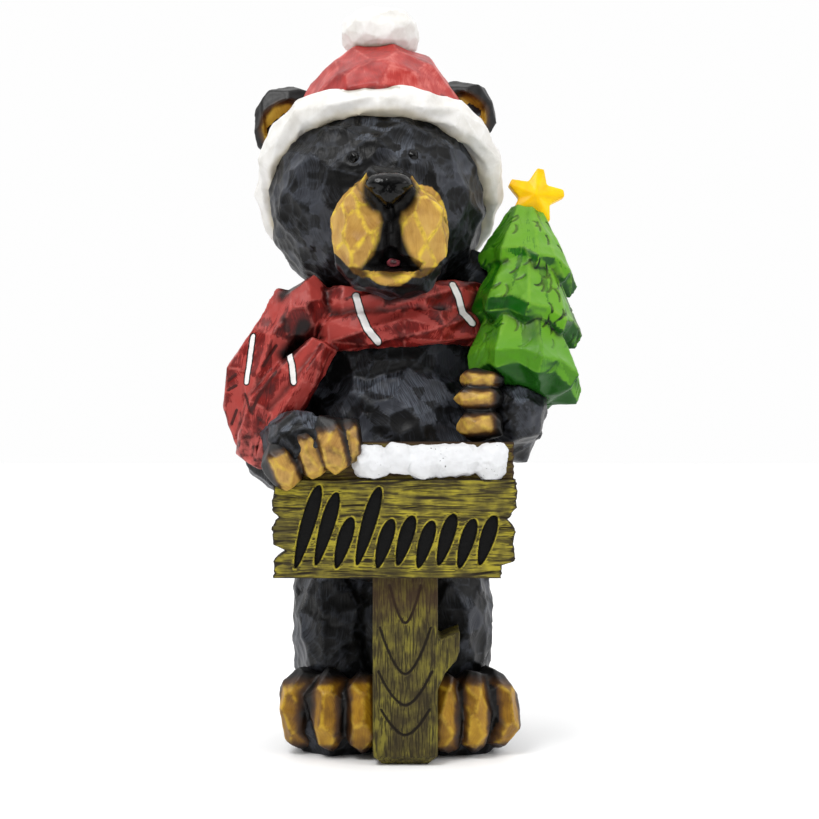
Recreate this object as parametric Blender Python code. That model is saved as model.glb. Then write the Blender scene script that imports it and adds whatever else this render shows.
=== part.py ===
"""A standing bear cast in resin in the style of a chainsaw carving.

The bear wears a hat and a scarf, holds a small tree with a star, and rests a paw on a plank sign
whose post stands between its feet. It is one casting, so every form is joined into one solid.
Metres, +Z up, the bear faces -Y. The origin is on the flat sole, under the middle of the legs.
"""

import math
import random

import bmesh
import bpy
from mathutils import Euler, Matrix, Vector

# Driving sizes, in metres.
HEIGHT = 0.560
SIGN_WIDTH = 0.173
SIGN_HEIGHT = 0.069
SIGN_THICKNESS = 0.027
TOP_PLANK_HEIGHT = 0.026
TOP_PLANK_SETBACK = 0.005
SIGN_FROM_GROUND = 0.1335
GRAIN_DEPTH = 0.0014
STROKE_DEPTH = 0.0022
POST_WIDTH = 0.046
POST_THICKNESS = 0.054
POST_CHAMFER = 0.007
POST_GROOVE_WIDTH = 0.0036
POST_GROOVE_DEPTH = 0.0020
SNOW_THICKNESS = 0.032
SNOW_RISE = 0.0015

# The figure's pose and proportions are in shares of its height. One unit is 1 mm at the real size.
UNIT = HEIGHT / 560
# A cut plane is sunk by this share of the form's size, over the number of cuts, so that the faceted
# form keeps the size of the smooth one.
SINK = 1.15
CUTS_ALONG = 0.3
GOLDEN_ANGLE = math.pi * (3 - math.sqrt(5))
WELD = 0.00001


def at(x, y, z):
    """A point given in figure units."""
    return Vector((x, y, z)) * UNIT


def sizes(*lengths):
    """Lengths given in figure units."""
    return [length * UNIT for length in lengths]


def turned(x=0.0, y=0.0, z=0.0):
    """A rotation given in degrees."""
    return Euler([math.radians(angle) for angle in (x, y, z)])


# Objects and Booleans.


def add_object(name, bm, place=(0, 0, 0), turn=None):
    """Links a new object made from bm, which is then freed. Faces that aren't flat are split."""
    bmesh.ops.connect_verts_nonplanar(bm, angle_limit=0.0002, faces=bm.faces[:])
    mesh = bpy.data.meshes.new(name)
    bm.to_mesh(mesh)
    bm.free()
    obj = bpy.data.objects.new(name, mesh)
    obj.location = place
    if turn is not None:
        obj.rotation_euler = turn
    bpy.context.scene.collection.objects.link(obj)
    return obj


def settle(obj):
    """Applies the object's modifiers and its place to its mesh."""
    bpy.context.view_layer.update()
    graph = bpy.context.evaluated_depsgraph_get()
    mesh = bpy.data.meshes.new_from_object(obj.evaluated_get(graph))
    mesh.transform(obj.matrix_world)
    obj.modifiers.clear()
    obj.data = mesh
    obj.matrix_world = Matrix.Identity(4)
    return obj


def combine(obj, others, operation):
    """Joins others to obj, or cuts them from it, and removes them.

    Hundreds of flat cuts meet in slivers, where the exact solver loses faces, so this is the
    manifold one. Every form here is closed.
    """
    for other in others:
        modifier = obj.modifiers.new(other.name, "BOOLEAN")
        modifier.operation = operation
        modifier.solver = "MANIFOLD"
        modifier.object = other
    settle(obj)
    for other in others:
        bpy.data.objects.remove(other)
    return obj


def join(obj, *others):
    return combine(obj, others, "UNION")


def cut(obj, *others):
    return combine(obj, others, "DIFFERENCE")


# Carved forms: convex solids that are cut down by one flat plane after another.


def spread_directions(count, rng, jitter=0.9):
    """Directions spread evenly over a sphere, each turned aside a little."""
    step = jitter / math.sqrt(count)
    for i in range(count):
        z = 1 - (2 * i + 1) / count
        r = math.sqrt(1 - z * z)
        aside = Vector([rng.uniform(-step, step) for _ in range(3)])
        angle = i * GOLDEN_ANGLE
        yield (Vector((r * math.cos(angle), r * math.sin(angle), z)) + aside).normalized()


def skin_plane(direction, radii, power):
    """A plane that touches a rounded box of these radii: its outward normal, and its distance.

    The normals lean towards the short axes, so that a long form has enough cuts along its sides.
    """
    normal = Vector([c / r**CUTS_ALONG for c, r in zip(direction, radii)]).normalized()
    dual = power / (power - 1)
    reach = sum(abs(c * r) ** dual for c, r in zip(normal, radii)) ** (1 / dual)
    return normal, reach


def cut_block(planes, reach):
    """A block that reaches this far each way, cut down by planes of (outward normal, distance)."""
    bm = bmesh.new()
    bmesh.ops.create_cube(bm, size=2 * reach)
    for normal, reach in planes:
        done = bmesh.ops.bisect_plane(
            bm,
            geom=bm.verts[:] + bm.edges[:] + bm.faces[:],
            dist=1e-6,
            plane_co=normal * reach,
            plane_no=normal,
            clear_outer=True,
        )
        rim = [e for e in done["geom_cut"] if isinstance(e, bmesh.types.BMEdge)]
        if len(rim) > 2:
            bmesh.ops.edgeloop_fill(bm, edges=rim)
    bmesh.ops.remove_doubles(bm, verts=bm.verts[:], dist=WELD)
    bmesh.ops.recalc_face_normals(bm, faces=bm.faces[:])
    return bm


def carved(name, place, radii, cuts, seed, power=2.2, turn=None, extra=()):
    """A rounded form in figure units, with a number of flat cuts.

    extra holds further planes, each an outward normal and a distance from the middle.
    """
    rng = random.Random(seed)
    radii = sizes(*radii)
    sink = SINK * sum(radii) / 3 / cuts
    planes = []
    for direction in spread_directions(cuts, rng):
        normal, reach = skin_plane(direction, radii, power)
        planes.append((normal, reach - sink * rng.uniform(0.3, 1.7)))
    planes += [(Vector(normal).normalized(), reach * UNIT) for normal, reach in extra]
    return add_object(name, cut_block(planes, 1.6 * max(radii)), at(*place), turn)


def ring_points(steps, phase=0.0):
    for i in range(steps):
        angle = 2 * math.pi * i / steps + phase
        yield angle, math.cos(angle), math.sin(angle)


def carved_ring(name, place, axes, tube, steps, sides, wobble, seed, turn=None, power=2.0):
    """A roll along a rounded rectangle with these half axes (an ellipse at power 2).

    tube is its half size outwards and along Z.
    """
    rng = random.Random(seed)
    (a, b), (outwards, upwards), wobble = sizes(*axes), sizes(*tube), wobble * UNIT
    bm = bmesh.new()
    loops = []
    for i, (_, c, s) in enumerate(ring_points(steps)):
        x, y = (math.copysign(abs(v) ** (2 / power), v) for v in (c, s))
        out = Vector((c / a, s / b, 0)).normalized()
        loop = []
        for _, tube_c, tube_s in ring_points(sides, phase=math.pi * (i % 2) / sides):
            point = Vector((a * x, b * y, 0)) + out * outwards * tube_c
            point.z += upwards * tube_s
            aside = Vector([rng.uniform(-wobble, wobble) for _ in range(3)])
            loop.append(bm.verts.new(point + aside))
        loops.append(loop)
    bridge(bm, loops + loops[:1])
    return add_object(name, bm, at(*place), turn)


def bridge(bm, loops):
    """Faces between each loop of points and the next."""
    for low, high in zip(loops, loops[1:]):
        for j in range(len(low)):
            k = (j + 1) % len(low)
            bm.faces.new((low[j], low[k], high[k], high[j]))
    bmesh.ops.recalc_face_normals(bm, faces=bm.faces[:])


def ribbon(name, spine, widths, depths, facing, wobble, seed):
    """A thick strip of cloth through points in figure units, with chamfered edges."""
    rng = random.Random(seed)
    spine = [at(*point) for point in spine]
    facing = Vector(facing).normalized()
    section = ((1, 0.25), (0.6, 1), (-0.1, 0.72), (-0.6, 1), (-1, 0.3), (-0.7, -1), (0.7, -1))
    bm = bmesh.new()
    loops = []
    for i, (point, width, depth) in enumerate(zip(spine, sizes(*widths), sizes(*depths))):
        along = spine[min(i + 1, len(spine) - 1)] - spine[max(i - 1, 0)]
        across = along.cross(facing).normalized()
        loop = []
        for side, out in section:
            aside = Vector([rng.uniform(-wobble, wobble) for _ in range(3)]) * UNIT
            loop.append(
                bm.verts.new(point + across * width * side + facing * depth * out + aside)
            )
        loops.append(loop)
    bm.faces.new(reversed(loops[0]))
    bm.faces.new(loops[-1])
    bridge(bm, loops)
    return add_object(name, bm)


def wedge(name, start, end, width, depth, facing):
    """A long gouge with pointed ends, to cut a groove from start to end.

    It is cut into a face that looks along facing, and its places and sizes are in metres.
    """
    start, end, facing = Vector(start), Vector(end), Vector(facing).normalized()
    across = (end - start).cross(facing).normalized() * width / 2
    middle = (start + end) / 2
    rise = facing * depth
    bm = bmesh.new()
    tips = [bm.verts.new(start + rise * 0.2), bm.verts.new(end + rise * 0.2)]
    ridge = bm.verts.new(middle + rise)
    sides = [bm.verts.new(middle + across + rise), bm.verts.new(middle - across + rise)]
    keel = bm.verts.new(middle - rise)
    for tip in tips:
        bm.faces.new((tip, sides[0], keel))
        bm.faces.new((tip, keel, sides[1]))
        bm.faces.new((tip, sides[1], ridge))
        bm.faces.new((tip, ridge, sides[0]))
    bmesh.ops.recalc_face_normals(bm, faces=bm.faces[:])
    return add_object(name, bm)


# The bear.


def make_body():
    """Belly, chest, back and the log that the legs are carved from, with the thighs in front."""
    parts = [
        carved("chest", (-5, 2, 288), (74, 59, 58), 56, 2),
        carved("back", (-4, 24, 215), (71, 56, 118), 60, 7, power=2.4),
        carved("log", (-5, 8, 118), (74, 64, 128), 80, 3, power=2.5),
        carved("thigh_right", (-42, -14, 88), (37, 50, 70), 40, 4),
        carved("thigh_left", (34, -14, 88), (37, 50, 70), 40, 5),
        carved("tail", (-4, 76, 122), (17, 17, 20), 20, 6),
        carved("heel_right", (-38, 42, 14), (30, 38, 24), 24, 8),
        carved("heel_left", (30, 42, 14), (30, 38, 24), 24, 9),
    ]
    body = join(carved("belly", (-2, -4, 212), (78, 77, 88), 88, 1), *parts)
    between_legs = wedge("between_legs", at(-4, 68, 104), at(-4, 72, -40), *sizes(46, 17), (0, 1, 0))
    return cut(body, between_legs)


def make_feet():
    """Two feet with three toes each."""
    toes = {
        "right": ((-68, -54, 34), (-48, -66, 12), (-26, -70, 0)),
        "left": ((33, -70, 0), (52, -66, -12), (68, -55, -34)),
    }
    parts = [carved("foot_left", (42, -32, 22), (37, 46, 36), 30, 12)]
    for side, places in toes.items():
        for i, (x, y, yaw) in enumerate(places):
            parts.append(
                carved(f"toe_{side}_{i}", (x, y, 32), (13.5, 25, 29), 22, 20 + i + len(side),
                       power=2.4, turn=turned(z=-yaw))
            )
    return join(carved("foot_right", (-45, -32, 22), (38, 46, 36), 30, 11), *parts)


def make_arms():
    """The right arm reaches over the sign, and the left forearm comes forward under the tree."""
    parts = [
        carved("elbow_right", (-91, -22, 224), (26, 36, 30), 28, 32),
        carved("forearm_right", (-77, -60, 228), (23, 46, 22), 28, 33),
        carved("hand_right", (-62, -100, 230), (30, 26, 18), 28, 34, turn=turned(y=14)),
        carved("arm_left", (78, -2, 268), (28, 32, 58), 34, 35, turn=turned(y=-12)),
        carved("elbow_left", (83, -14, 247), (24, 36, 26), 28, 36),
        carved("shoulder_left", (57, 4, 340), (24, 34, 34), 24, 38),
        carved("hand_left", (86, -62, 249), (21, 36, 22), 28, 37),
    ]
    return join(carved("arm_right", (-82, -8, 268), (29, 32, 58), 34, 31, turn=turned(y=14)),
                *parts)


def make_fingers():
    """Four fingers over the top of the sign and three round the tree's foot."""
    right = (
        ((-80, -112, 212), (12, 14, 16), -24),
        ((-62, -114, 222), (10.5, 14, 19), -20),
        ((-46, -115, 227), (12.5, 14, 20), -14),
        ((-33, -111, 230), (8, 12, 16), -8),
    )
    left = (
        ((60, -84, 273), (16, 12, 7), 4),
        ((58, -88, 259.5), (17, 13, 8.5), 0),
        ((59, -86, 241), (16.5, 14, 11.5), -4),
    )
    fingers = [
        carved(f"finger_{i}", place, radii, 22, 40 + i, power=2.4, turn=turned(y=lean))
        for i, (place, radii, lean) in enumerate(right + left)
    ]
    return fingers


def make_head():
    """The face, muzzle, chin, nose, eyes and ears."""
    parts = [
        carved("muzzle", (-6.5, -72, 379), (40, 38, 39), 40, 52),
        carved("lip_right", (-26, -88, 375), (21, 26, 34), 32, 53),
        carved("lip_left", (13, -88, 375), (21, 26, 34), 32, 54),
        carved("bridge", (-8, -82, 404), (23, 32, 20), 24, 55),
    ]
    head = join(carved("head", (-17, -2, 409), (81, 79, 71), 98, 51, power=2.35), *parts)
    furrow = wedge("furrow", at(-6.5, -113, 404), at(-6, -106, 346), *sizes(14, 8), (0, -1, 0))
    mouth = carved("mouth", (-3, -109, 354), (19, 17, 6), 16, 56)
    cut(head, furrow, mouth)
    nose_sides = (((0.85, 0, -0.52), 11.5), ((-0.85, 0, -0.52), 11.5))
    more = [
        carved("chin", (-5, -82, 344), (30, 29, 9.5), 26, 57),
        carved("tongue", (-3.5, -98, 353), (6, 9, 3.5), 12, 58),
        carved("nose", (-7.5, -109, 408), (18, 17, 12), 28, 59, power=2.8, extra=nose_sides),
        carved("eye_right", (-32, -74.5, 433), (4.6, 4.6, 5.2), 16, 60),
        carved("eye_left", (10.5, -71.5, 435), (4.6, 4.6, 5.2), 16, 61),
        make_ear("ear_right", (-84, 4, 472.5), (28, 12, 28), 62),
        make_ear("ear_left", (48, 4, 480), (25.5, 12, 25), 63),
    ]
    return join(head, *more)


def make_ear(name, place, radii, seed):
    """A round ear, hollowed in front so that a rim is left."""
    ear = carved(name, place, radii, 28, seed, power=2.4)
    hollow_place = (place[0], place[1] - radii[1], place[2] - 3)
    hollow = carved(name + "_hollow", hollow_place, (radii[0] * 0.74, 9, radii[2] * 0.74), 18,
                    seed + 10)
    return cut(ear, hollow)


def make_hat():
    """A crown over the back of the head, a roll round the face and a bobble on top."""
    balls = (((-14, 6, 422), (80, 80, 72)), ((-13, 2, 468), (63, 64, 64)))
    centre, lean = Vector((-15, 0, 417)), 52
    rng = random.Random(71)
    planes = []
    for normal in spread_directions(60, rng):
        reach = max(
            Vector(place).dot(normal) + Vector([n * r for n, r in zip(normal, radii)]).length
            for place, radii in balls
        )
        planes.append((normal, (reach - centre.dot(normal) - rng.uniform(0.3, 2.7)) * UNIT))
    lean_turn = turned(x=-lean)
    opening = lean_turn.to_matrix() @ Vector((0, 0, 1))
    planes.append((-opening, 0))
    crown = add_object("crown", cut_block(planes, 0.36 * HEIGHT), at(*centre))
    roll = carved_ring("roll", centre, (84.5, 80), (12.5, 15.5), 20, 6, 1.3, 72, turn=lean_turn,
                       power=2.5)
    bobble = carved("bobble", (-14, 5, 541.5), (29, 27, 18.5), 36, 73, power=2.5)
    return join(crown, roll, bobble)


def make_scarf():
    """Two folds round the neck, a knot on the right shoulder and two ends that hang over the arm."""
    fold = carved_ring("fold_low", (-3, -4, 310), (71, 65), (12, 14), 17, 6, 1.2, 81,
                       turn=turned(y=-3))
    parts = [
        carved_ring("fold_high", (-4, -4, 332), (66, 60), (12, 13), 15, 6, 1.2, 82,
                    turn=turned(y=-3)),
        carved("knot", (-70, -40, 322), (20, 28, 26), 26, 83, turn=turned(y=24)),
        ribbon("end_outer", ((-74, -40, 338), (-91, -48, 308), (-108, -50, 278), (-114, -47, 250),
                             (-110, -47, 226)),
               (16, 19, 21, 18, 12), (14, 15, 13, 11, 8), (-0.55, -0.83, 0.1), 1.6, 84),
        ribbon("end_inner", ((-54, -68, 300), (-72, -72, 276), (-92, -70, 250), (-104, -64, 226),
                             (-109, -58, 214)),
               (10, 17, 21, 17, 12), (12, 14, 14, 11, 8), (-0.35, -0.93, 0.1), 1.6, 85),
    ]
    scarf = join(fold, *parts)
    fringe = [
        wedge(f"fringe_{i}", at(-106 + 7 * i, -79 - 1.5 * i, 236 + 5 * i),
              at(-113 + 7 * i, -70 - 2 * i, 206 + 2 * i), *sizes(4.5, 5), (-0.35, -0.93, 0.1))
        for i in range(3)
    ]
    return cut(scarf, *fringe)


def make_tree():
    """Three tiers of branches, leaning back on the shoulder, and a star."""
    tiers = (
        ((93, -60, 277), 45, 20, 60, 20, 91, turned(x=-15, y=16, z=8)),
        ((93.5, -45, 317), 44, 18, 56, 18, 92, turned(x=-15, y=16, z=-4)),
        ((97, -28, 356), 39, 14, 46, 17, 93, turned(x=-15, y=17, z=5)),
    )
    made = [make_tier(f"tier_{i}", *tier) for i, tier in enumerate(tiers)]
    return join(*made, make_star())


def make_tier(name, place, radius, top_radius, height, lip, seed, turn, lobes=8):
    """A faceted cone with a thick rim that dips at each lobe's corner and rises between lobes.

    The rim lies at a slant, but the cone stands nearly upright on it, so its top is moved back.
    """
    upright = Vector((-0.24 * height, 0, 0)) * UNIT
    upright.rotate(turned(z=-math.degrees(turn.z)))
    rng = random.Random(seed)
    levels = (
        (top_radius, top_radius * 0.9, height, height),
        (radius, radius * 0.86, 0, height * 0.09),
        (radius * 0.93, radius * 0.78, -lip * 0.55, -lip * 0.25),
        (radius * 0.5, radius * 0.5, -lip * 0.8, -lip * 0.8),
    )
    rings = []
    bm = bmesh.new()
    for corner_radius, notch_radius, corner_z, notch_z in levels:
        ring = []
        for i, (_, c, s) in enumerate(ring_points(2 * lobes)):
            reach, z = (notch_radius, notch_z) if i % 2 else (corner_radius, corner_z)
            reach *= rng.uniform(0.96, 1.03)
            point = at(reach * c, reach * s, z + rng.uniform(-1, 1))
            ring.append(bm.verts.new(point if rings else point + upright))
        rings.append(ring)
    bm.faces.new(rings[0])
    bm.faces.new(reversed(rings[-1]))
    bridge(bm, rings)
    return add_object(name, bm, at(*place), turn)


def make_star():
    """A puffed five-pointed star."""
    points, outer, inner, thickness, rim = 5, 23.5, 12.5, 8.5, 3
    bm = bmesh.new()
    edges = []
    for depth in (-rim, rim):
        edge = []
        for i, (_, c, s) in enumerate(ring_points(2 * points, phase=math.pi / 2)):
            reach = inner if i % 2 else outer
            edge.append(bm.verts.new(at(reach * c, depth, reach * s)))
        edges.append(edge)
    bridge(bm, edges)
    for edge, depth in zip(edges, (-thickness, thickness)):
        middle = bm.verts.new(at(0, depth, 0))
        for i in range(2 * points):
            bm.faces.new((middle, edge[i], edge[(i + 1) % (2 * points)]))
    bmesh.ops.recalc_face_normals(bm, faces=bm.faces[:])
    bmesh.ops.bevel(bm, geom=bm.edges[:], offset=1.2 * UNIT, segments=1, affect="EDGES")
    return add_object("star", bm, at(104, -15, 415), turned(x=-8, y=14))


# The sign, in the frame of its front face: X from its middle, Z up from its lower edge.

WAVES_ALONG = 1.4
WAVES_UP = 0.8
SIGN_PLACE = at(-2.5, -114, 0) + Vector((0, 0, SIGN_FROM_GROUND))


def sign_side(z, side):
    """How far in the sign's broken end stands at a height, as a share of its width."""
    left = ((0, 0.004), (0.2, 0.008), (0.28, 0.055), (0.34, 0.008), (0.52, 0.0), (0.62, 0.022),
            (0.7, 0.0), (0.9, 0.006), (1, 0.012))
    right = ((0, 0.065), (0.13, 0.063), (0.17, 0.008), (0.36, 0.012), (0.5, 0.004),
             (0.6, 0.038), (0.72, 0.0), (0.92, 0.0), (1, 0.006))
    profile = left if side < 0 else right
    share = z / SIGN_HEIGHT
    for (z0, in0), (z1, in1) in zip(profile, profile[1:]):
        if share <= z1:
            return in0 + (in1 - in0) * max(0, share - z0) / (z1 - z0)
    return profile[-1][1]


def grained_plank(name, low, high, width_at, front, back, grooves, columns, seed):
    """A plank whose front has wavy grooves along X. width_at gives its two ends at a height."""
    rng = random.Random(seed)
    spacing = (high - low) / (2 * grooves)
    rows = [(low + i * spacing, i % 2) for i in range(2 * grooves + 1)]
    bm = bmesh.new()
    fronts = []
    for z, depth in rows:
        left, right = width_at(z)
        line = []
        for j in range(columns + 1):
            x = left + (right - left) * j / columns
            inside = 0 < j < columns and low < z < high
            turns = x / SIGN_WIDTH * WAVES_ALONG + z / SIGN_HEIGHT * WAVES_UP
            wave = math.sin(2 * math.pi * turns) if inside else 0
            sunk = GRAIN_DEPTH * depth * rng.uniform(0.6, 1.3)
            line.append(bm.verts.new((x, front + sunk, z + 0.3 * spacing * wave)))
        fronts.append(line)
    for a, b in zip(fronts, fronts[1:]):
        for j in range(columns):
            bm.faces.new((a[j], a[j + 1], b[j + 1], b[j]))
    rim = fronts[0] + [line[-1] for line in fronts[1:]]
    rim += fronts[-1][-2::-1] + [line[0] for line in fronts[-2:0:-1]]
    back_rim = [bm.verts.new((v.co.x, back, v.co.z)) for v in rim]
    bm.faces.new(back_rim)
    bridge(bm, [rim, back_rim])
    return add_object(name, bm, SIGN_PLACE)


def make_stroke(index, x, low, high, width, lean):
    """A leaf-shaped brush stroke, to be sunk into the sign. It is no letter."""
    steps = 8
    bm = bmesh.new()
    rings = []
    for depth, shrink in ((-0.003, 1.0), (STROKE_DEPTH, 0.85)):
        ring = []
        for angle, c, s in ring_points(steps):
            share = (s + 1) / 2
            across = c * width / 2 * (0.65 + 0.5 * share) * shrink
            z = low + (high - low) * (0.5 + 0.5 * s * shrink)
            ring.append(bm.verts.new((x + across + (z - low) * lean, depth, z)))
        rings.append(ring)
    bm.faces.new(rings[0])
    bm.faces.new(reversed(rings[1]))
    bridge(bm, rings)
    return add_object(f"stroke_{index}", bm, SIGN_PLACE)


def make_strokes():
    """One row of slanting strokes, tall at the left end and once again further on."""
    heights = (0.94, 0.86, 0.58, 0.92, 0.56, 0.60, 0.54, 0.62, 0.56, 0.60)
    first, last, foot = -0.40 * SIGN_WIDTH, 0.345 * SIGN_WIDTH, 0.10 * SIGN_HEIGHT
    pitch = (last - first) / (len(heights) - 1)
    return [
        make_stroke(i, first + i * pitch, foot + 0.03 * SIGN_HEIGHT * (i % 2),
                    foot + 0.90 * SIGN_HEIGHT * height, 0.72 * pitch, 0.28)
        for i, height in enumerate(heights)
    ]


def make_post():
    """The post with its sawn-off branch and four curved cuts in its face."""
    place = Vector((5 * UNIT, SIGN_PLACE.y + SIGN_THICKNESS / 3, 0))
    half, top = POST_WIDTH / 2, SIGN_FROM_GROUND + SIGN_HEIGHT / 2
    bm = bmesh.new()
    bmesh.ops.create_cube(bm, size=1)
    bmesh.ops.scale(bm, vec=(POST_WIDTH, POST_THICKNESS, top), verts=bm.verts[:])
    bmesh.ops.translate(bm, vec=(0, POST_THICKNESS / 2, top / 2), verts=bm.verts[:])
    foot = [e for e in bm.edges if all(v.co.z < 0.001 for v in e.verts)]
    bmesh.ops.bevel(bm, geom=foot, offset=POST_CHAMFER, segments=1, affect="EDGES")
    post = add_object("post", bm, place)
    join(post, make_branch(place, half))
    grooves = []
    for low, reach, half_width in ((101, 27, 11), (65, 33, 18), (43, 24, 19), (22, 18, 17)):
        grooves.append(make_groove(place, *sizes(low, reach, half_width)))
    return cut(post, *grooves)


def make_branch(place, half):
    """The stub of a branch on the post's left side, sawn off level, with a bulging end."""
    outline = ((-4, 46), (-1, 51), (2, 58), (5.5, 66), (13, 74), (15.5, 81), (15.5, 95), (-4, 87))
    bm = bmesh.new()
    rings = [
        [bm.verts.new((half + x * UNIT, y, z * UNIT)) for x, z in outline]
        for y in (0.001, 0.8 * POST_THICKNESS)
    ]
    bm.faces.new(rings[0])
    bm.faces.new(reversed(rings[1]))
    bridge(bm, rings)
    return add_object("branch", bm, place)


def make_groove(place, low, reach, half_width):
    """A curved cutter like the letter U, of triangular section, that opens upwards."""
    half_width = min(half_width, 0.46 * POST_WIDTH)
    steps = 8
    bm = bmesh.new()
    rings = []
    for i in range(steps + 1):
        t = 2 * i / steps - 1
        centre = Vector((half_width * t, 0, low + reach * abs(t) ** 1.7))
        slope = Vector((half_width, 0, reach * 1.7 * abs(t) ** 0.7 * (1 if t > 0 else -1)))
        side = slope.cross(Vector((0, 1, 0))).normalized()
        width = POST_GROOVE_WIDTH * (1 - 0.6 * abs(t))
        rings.append([
            bm.verts.new(centre + side * width + Vector((0, -POST_GROOVE_DEPTH, 0))),
            bm.verts.new(centre - side * width + Vector((0, -POST_GROOVE_DEPTH, 0))),
            bm.verts.new(centre + Vector((0, POST_GROOVE_DEPTH, 0))),
        ])
    bm.faces.new(rings[0])
    bm.faces.new(reversed(rings[-1]))
    bridge(bm, rings)
    return add_object("groove", bm, place)


def make_snow():
    """A bank of snow along the sign's top edge: lumps that share one flat top.

    Each lump has its middle and half its width, as shares of the sign's width, and its drop.
    """
    lumps = ((-0.09, 0.088, 16.5), (0.01, 0.088, 12), (0.113, 0.088, 15), (0.21, 0.088, 12.5),
             (0.309, 0.088, 14), (0.384, 0.075, 14))
    top = SIGN_HEIGHT + TOP_PLANK_HEIGHT + SNOW_RISE
    made = []
    for i, (x, half_width, drop) in enumerate(lumps):
        above = 0.8 * drop
        middle = Vector((x * SIGN_WIDTH, 0.3 * SNOW_THICKNESS, top)) + SIGN_PLACE
        middle.z -= above * UNIT
        radii = (half_width * SIGN_WIDTH / UNIT, SNOW_THICKNESS / 2 / UNIT, drop)
        flat_top = (((0, 0, 1), above),)
        made.append(carved(f"lump_{i}", middle / UNIT, radii, 24, 110 + i, power=2.5,
                           extra=flat_top))
    return join(*made)


def make_sign():
    """Two planks, the upper one set back, with the strokes sunk into the lower one.

    A plain lump behind them runs into the belly.
    """
    def whole(z):
        return (
            (-0.5 + sign_side(z, -1)) * SIGN_WIDTH,
            (0.5 - sign_side(z, 1)) * SIGN_WIDTH,
        )

    def narrower(z):
        return (-0.497 * SIGN_WIDTH, 0.487 * SIGN_WIDTH)

    board = grained_plank("board", 0, SIGN_HEIGHT, whole, 0, SIGN_THICKNESS, 9, 10, 101)
    cut(board, *make_strokes())
    top = grained_plank(
        "top_plank", SIGN_HEIGHT - 0.002, SIGN_HEIGHT + TOP_PLANK_HEIGHT, narrower,
        TOP_PLANK_SETBACK, TOP_PLANK_SETBACK + SIGN_THICKNESS, 3, 6, 102,
    )
    behind = carved("sign_back", (-3, -80, 172), (62, 30, 40), 30, 103, power=2.6)
    return join(board, top, behind, make_post(), make_snow())


def make_ground():
    """A block under the ground plane, which cuts the sole flat."""
    bm = bmesh.new()
    bmesh.ops.create_cube(bm, size=2 * HEIGHT)
    return add_object("ground", bm, (0, 0, -HEIGHT))


def islands(bm):
    """The separate closed surfaces of bm, as sets of faces."""
    left = set(bm.faces)
    while left:
        found, edge = set(), [left.pop()]
        while edge:
            face = edge.pop()
            found.add(face)
            near = {other for e in face.edges for other in e.link_faces} & left
            left -= near
            edge.extend(near)
        yield found


def clean(obj):
    """Fills pockets of air that forms close off, and welds corners closer than a hair."""
    bm = bmesh.new()
    bm.from_mesh(obj.data)
    outside, *pockets = sorted(islands(bm), key=len, reverse=True)
    for pocket in pockets:
        bmesh.ops.delete(bm, geom=list(pocket), context="FACES")
    bmesh.ops.remove_doubles(bm, verts=bm.verts[:], dist=WELD)
    bmesh.ops.dissolve_degenerate(bm, edges=bm.edges[:], dist=WELD)
    bmesh.ops.triangulate(bm, faces=bm.faces[:])
    bm.to_mesh(obj.data)
    bm.free()


def make_material():
    material = bpy.data.materials.new("painted_resin")
    material.use_nodes = True
    shader = material.node_tree.nodes["Principled BSDF"]
    shader.inputs["Base Color"].default_value = (0.035, 0.037, 0.042, 1)
    shader.inputs["Roughness"].default_value = 0.42
    shader.inputs["Metallic"].default_value = 0.0
    return material


def main():
    for obj in list(bpy.data.objects):
        bpy.data.objects.remove(obj)
    bear = make_body()
    join(bear, make_arms(), make_feet(), *make_fingers())
    join(bear, make_head(), make_hat(), make_scarf())
    join(bear, make_tree(), make_sign())
    cut(bear, make_ground())
    clean(bear)
    bear.name = "bear"
    bear.data.name = "bear"
    bear.data.materials.clear()
    bear.data.materials.append(make_material())


main()
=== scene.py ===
# %% [markdown]
# # A bear in painted resin
# The real thing is a hollow garden figure, cast in resin from a model that was carved with flat
# cuts, then painted by hand. The whole bear comes as one plain solid. Here each painted part is
# carved once more from the same cuts, given a fine skin, and then painted.

# %% The frame
import math
import random
from contextlib import contextmanager

import bmesh
import bpy
import numpy as np
from mathutils import Euler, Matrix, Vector, kdtree
from mathutils.bvhtree import BVHTree


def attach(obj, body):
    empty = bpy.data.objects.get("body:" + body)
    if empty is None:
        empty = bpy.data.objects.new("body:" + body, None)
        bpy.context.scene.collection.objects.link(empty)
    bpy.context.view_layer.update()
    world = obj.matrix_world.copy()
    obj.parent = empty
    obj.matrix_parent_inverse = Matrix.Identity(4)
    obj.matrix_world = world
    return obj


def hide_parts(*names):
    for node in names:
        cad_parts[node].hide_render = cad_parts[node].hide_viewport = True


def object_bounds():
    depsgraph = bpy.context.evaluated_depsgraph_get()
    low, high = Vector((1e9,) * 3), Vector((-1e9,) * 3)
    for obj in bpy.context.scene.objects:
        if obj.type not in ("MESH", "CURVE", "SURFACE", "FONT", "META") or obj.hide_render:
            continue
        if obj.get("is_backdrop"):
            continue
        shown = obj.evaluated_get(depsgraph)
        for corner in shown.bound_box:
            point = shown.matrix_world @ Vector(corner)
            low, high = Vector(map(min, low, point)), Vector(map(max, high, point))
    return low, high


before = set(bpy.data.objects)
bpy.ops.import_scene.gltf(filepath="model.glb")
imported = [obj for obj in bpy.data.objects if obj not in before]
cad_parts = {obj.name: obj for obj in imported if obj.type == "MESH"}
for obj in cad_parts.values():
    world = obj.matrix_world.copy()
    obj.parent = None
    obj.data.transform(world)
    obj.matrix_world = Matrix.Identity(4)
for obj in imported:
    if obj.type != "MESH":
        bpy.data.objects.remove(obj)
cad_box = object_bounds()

MM = 0.001
HEIGHT = 560 * MM
print("solid", [round(v / MM, 1) for corner in cad_box for v in corner])

# %% [markdown]
# ## Working as by hand
# Blender's operators act on what is selected, so each step starts from an empty selection. A
# finished piece stands at the origin with its place in its mesh.

# %% Selecting and editing


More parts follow.
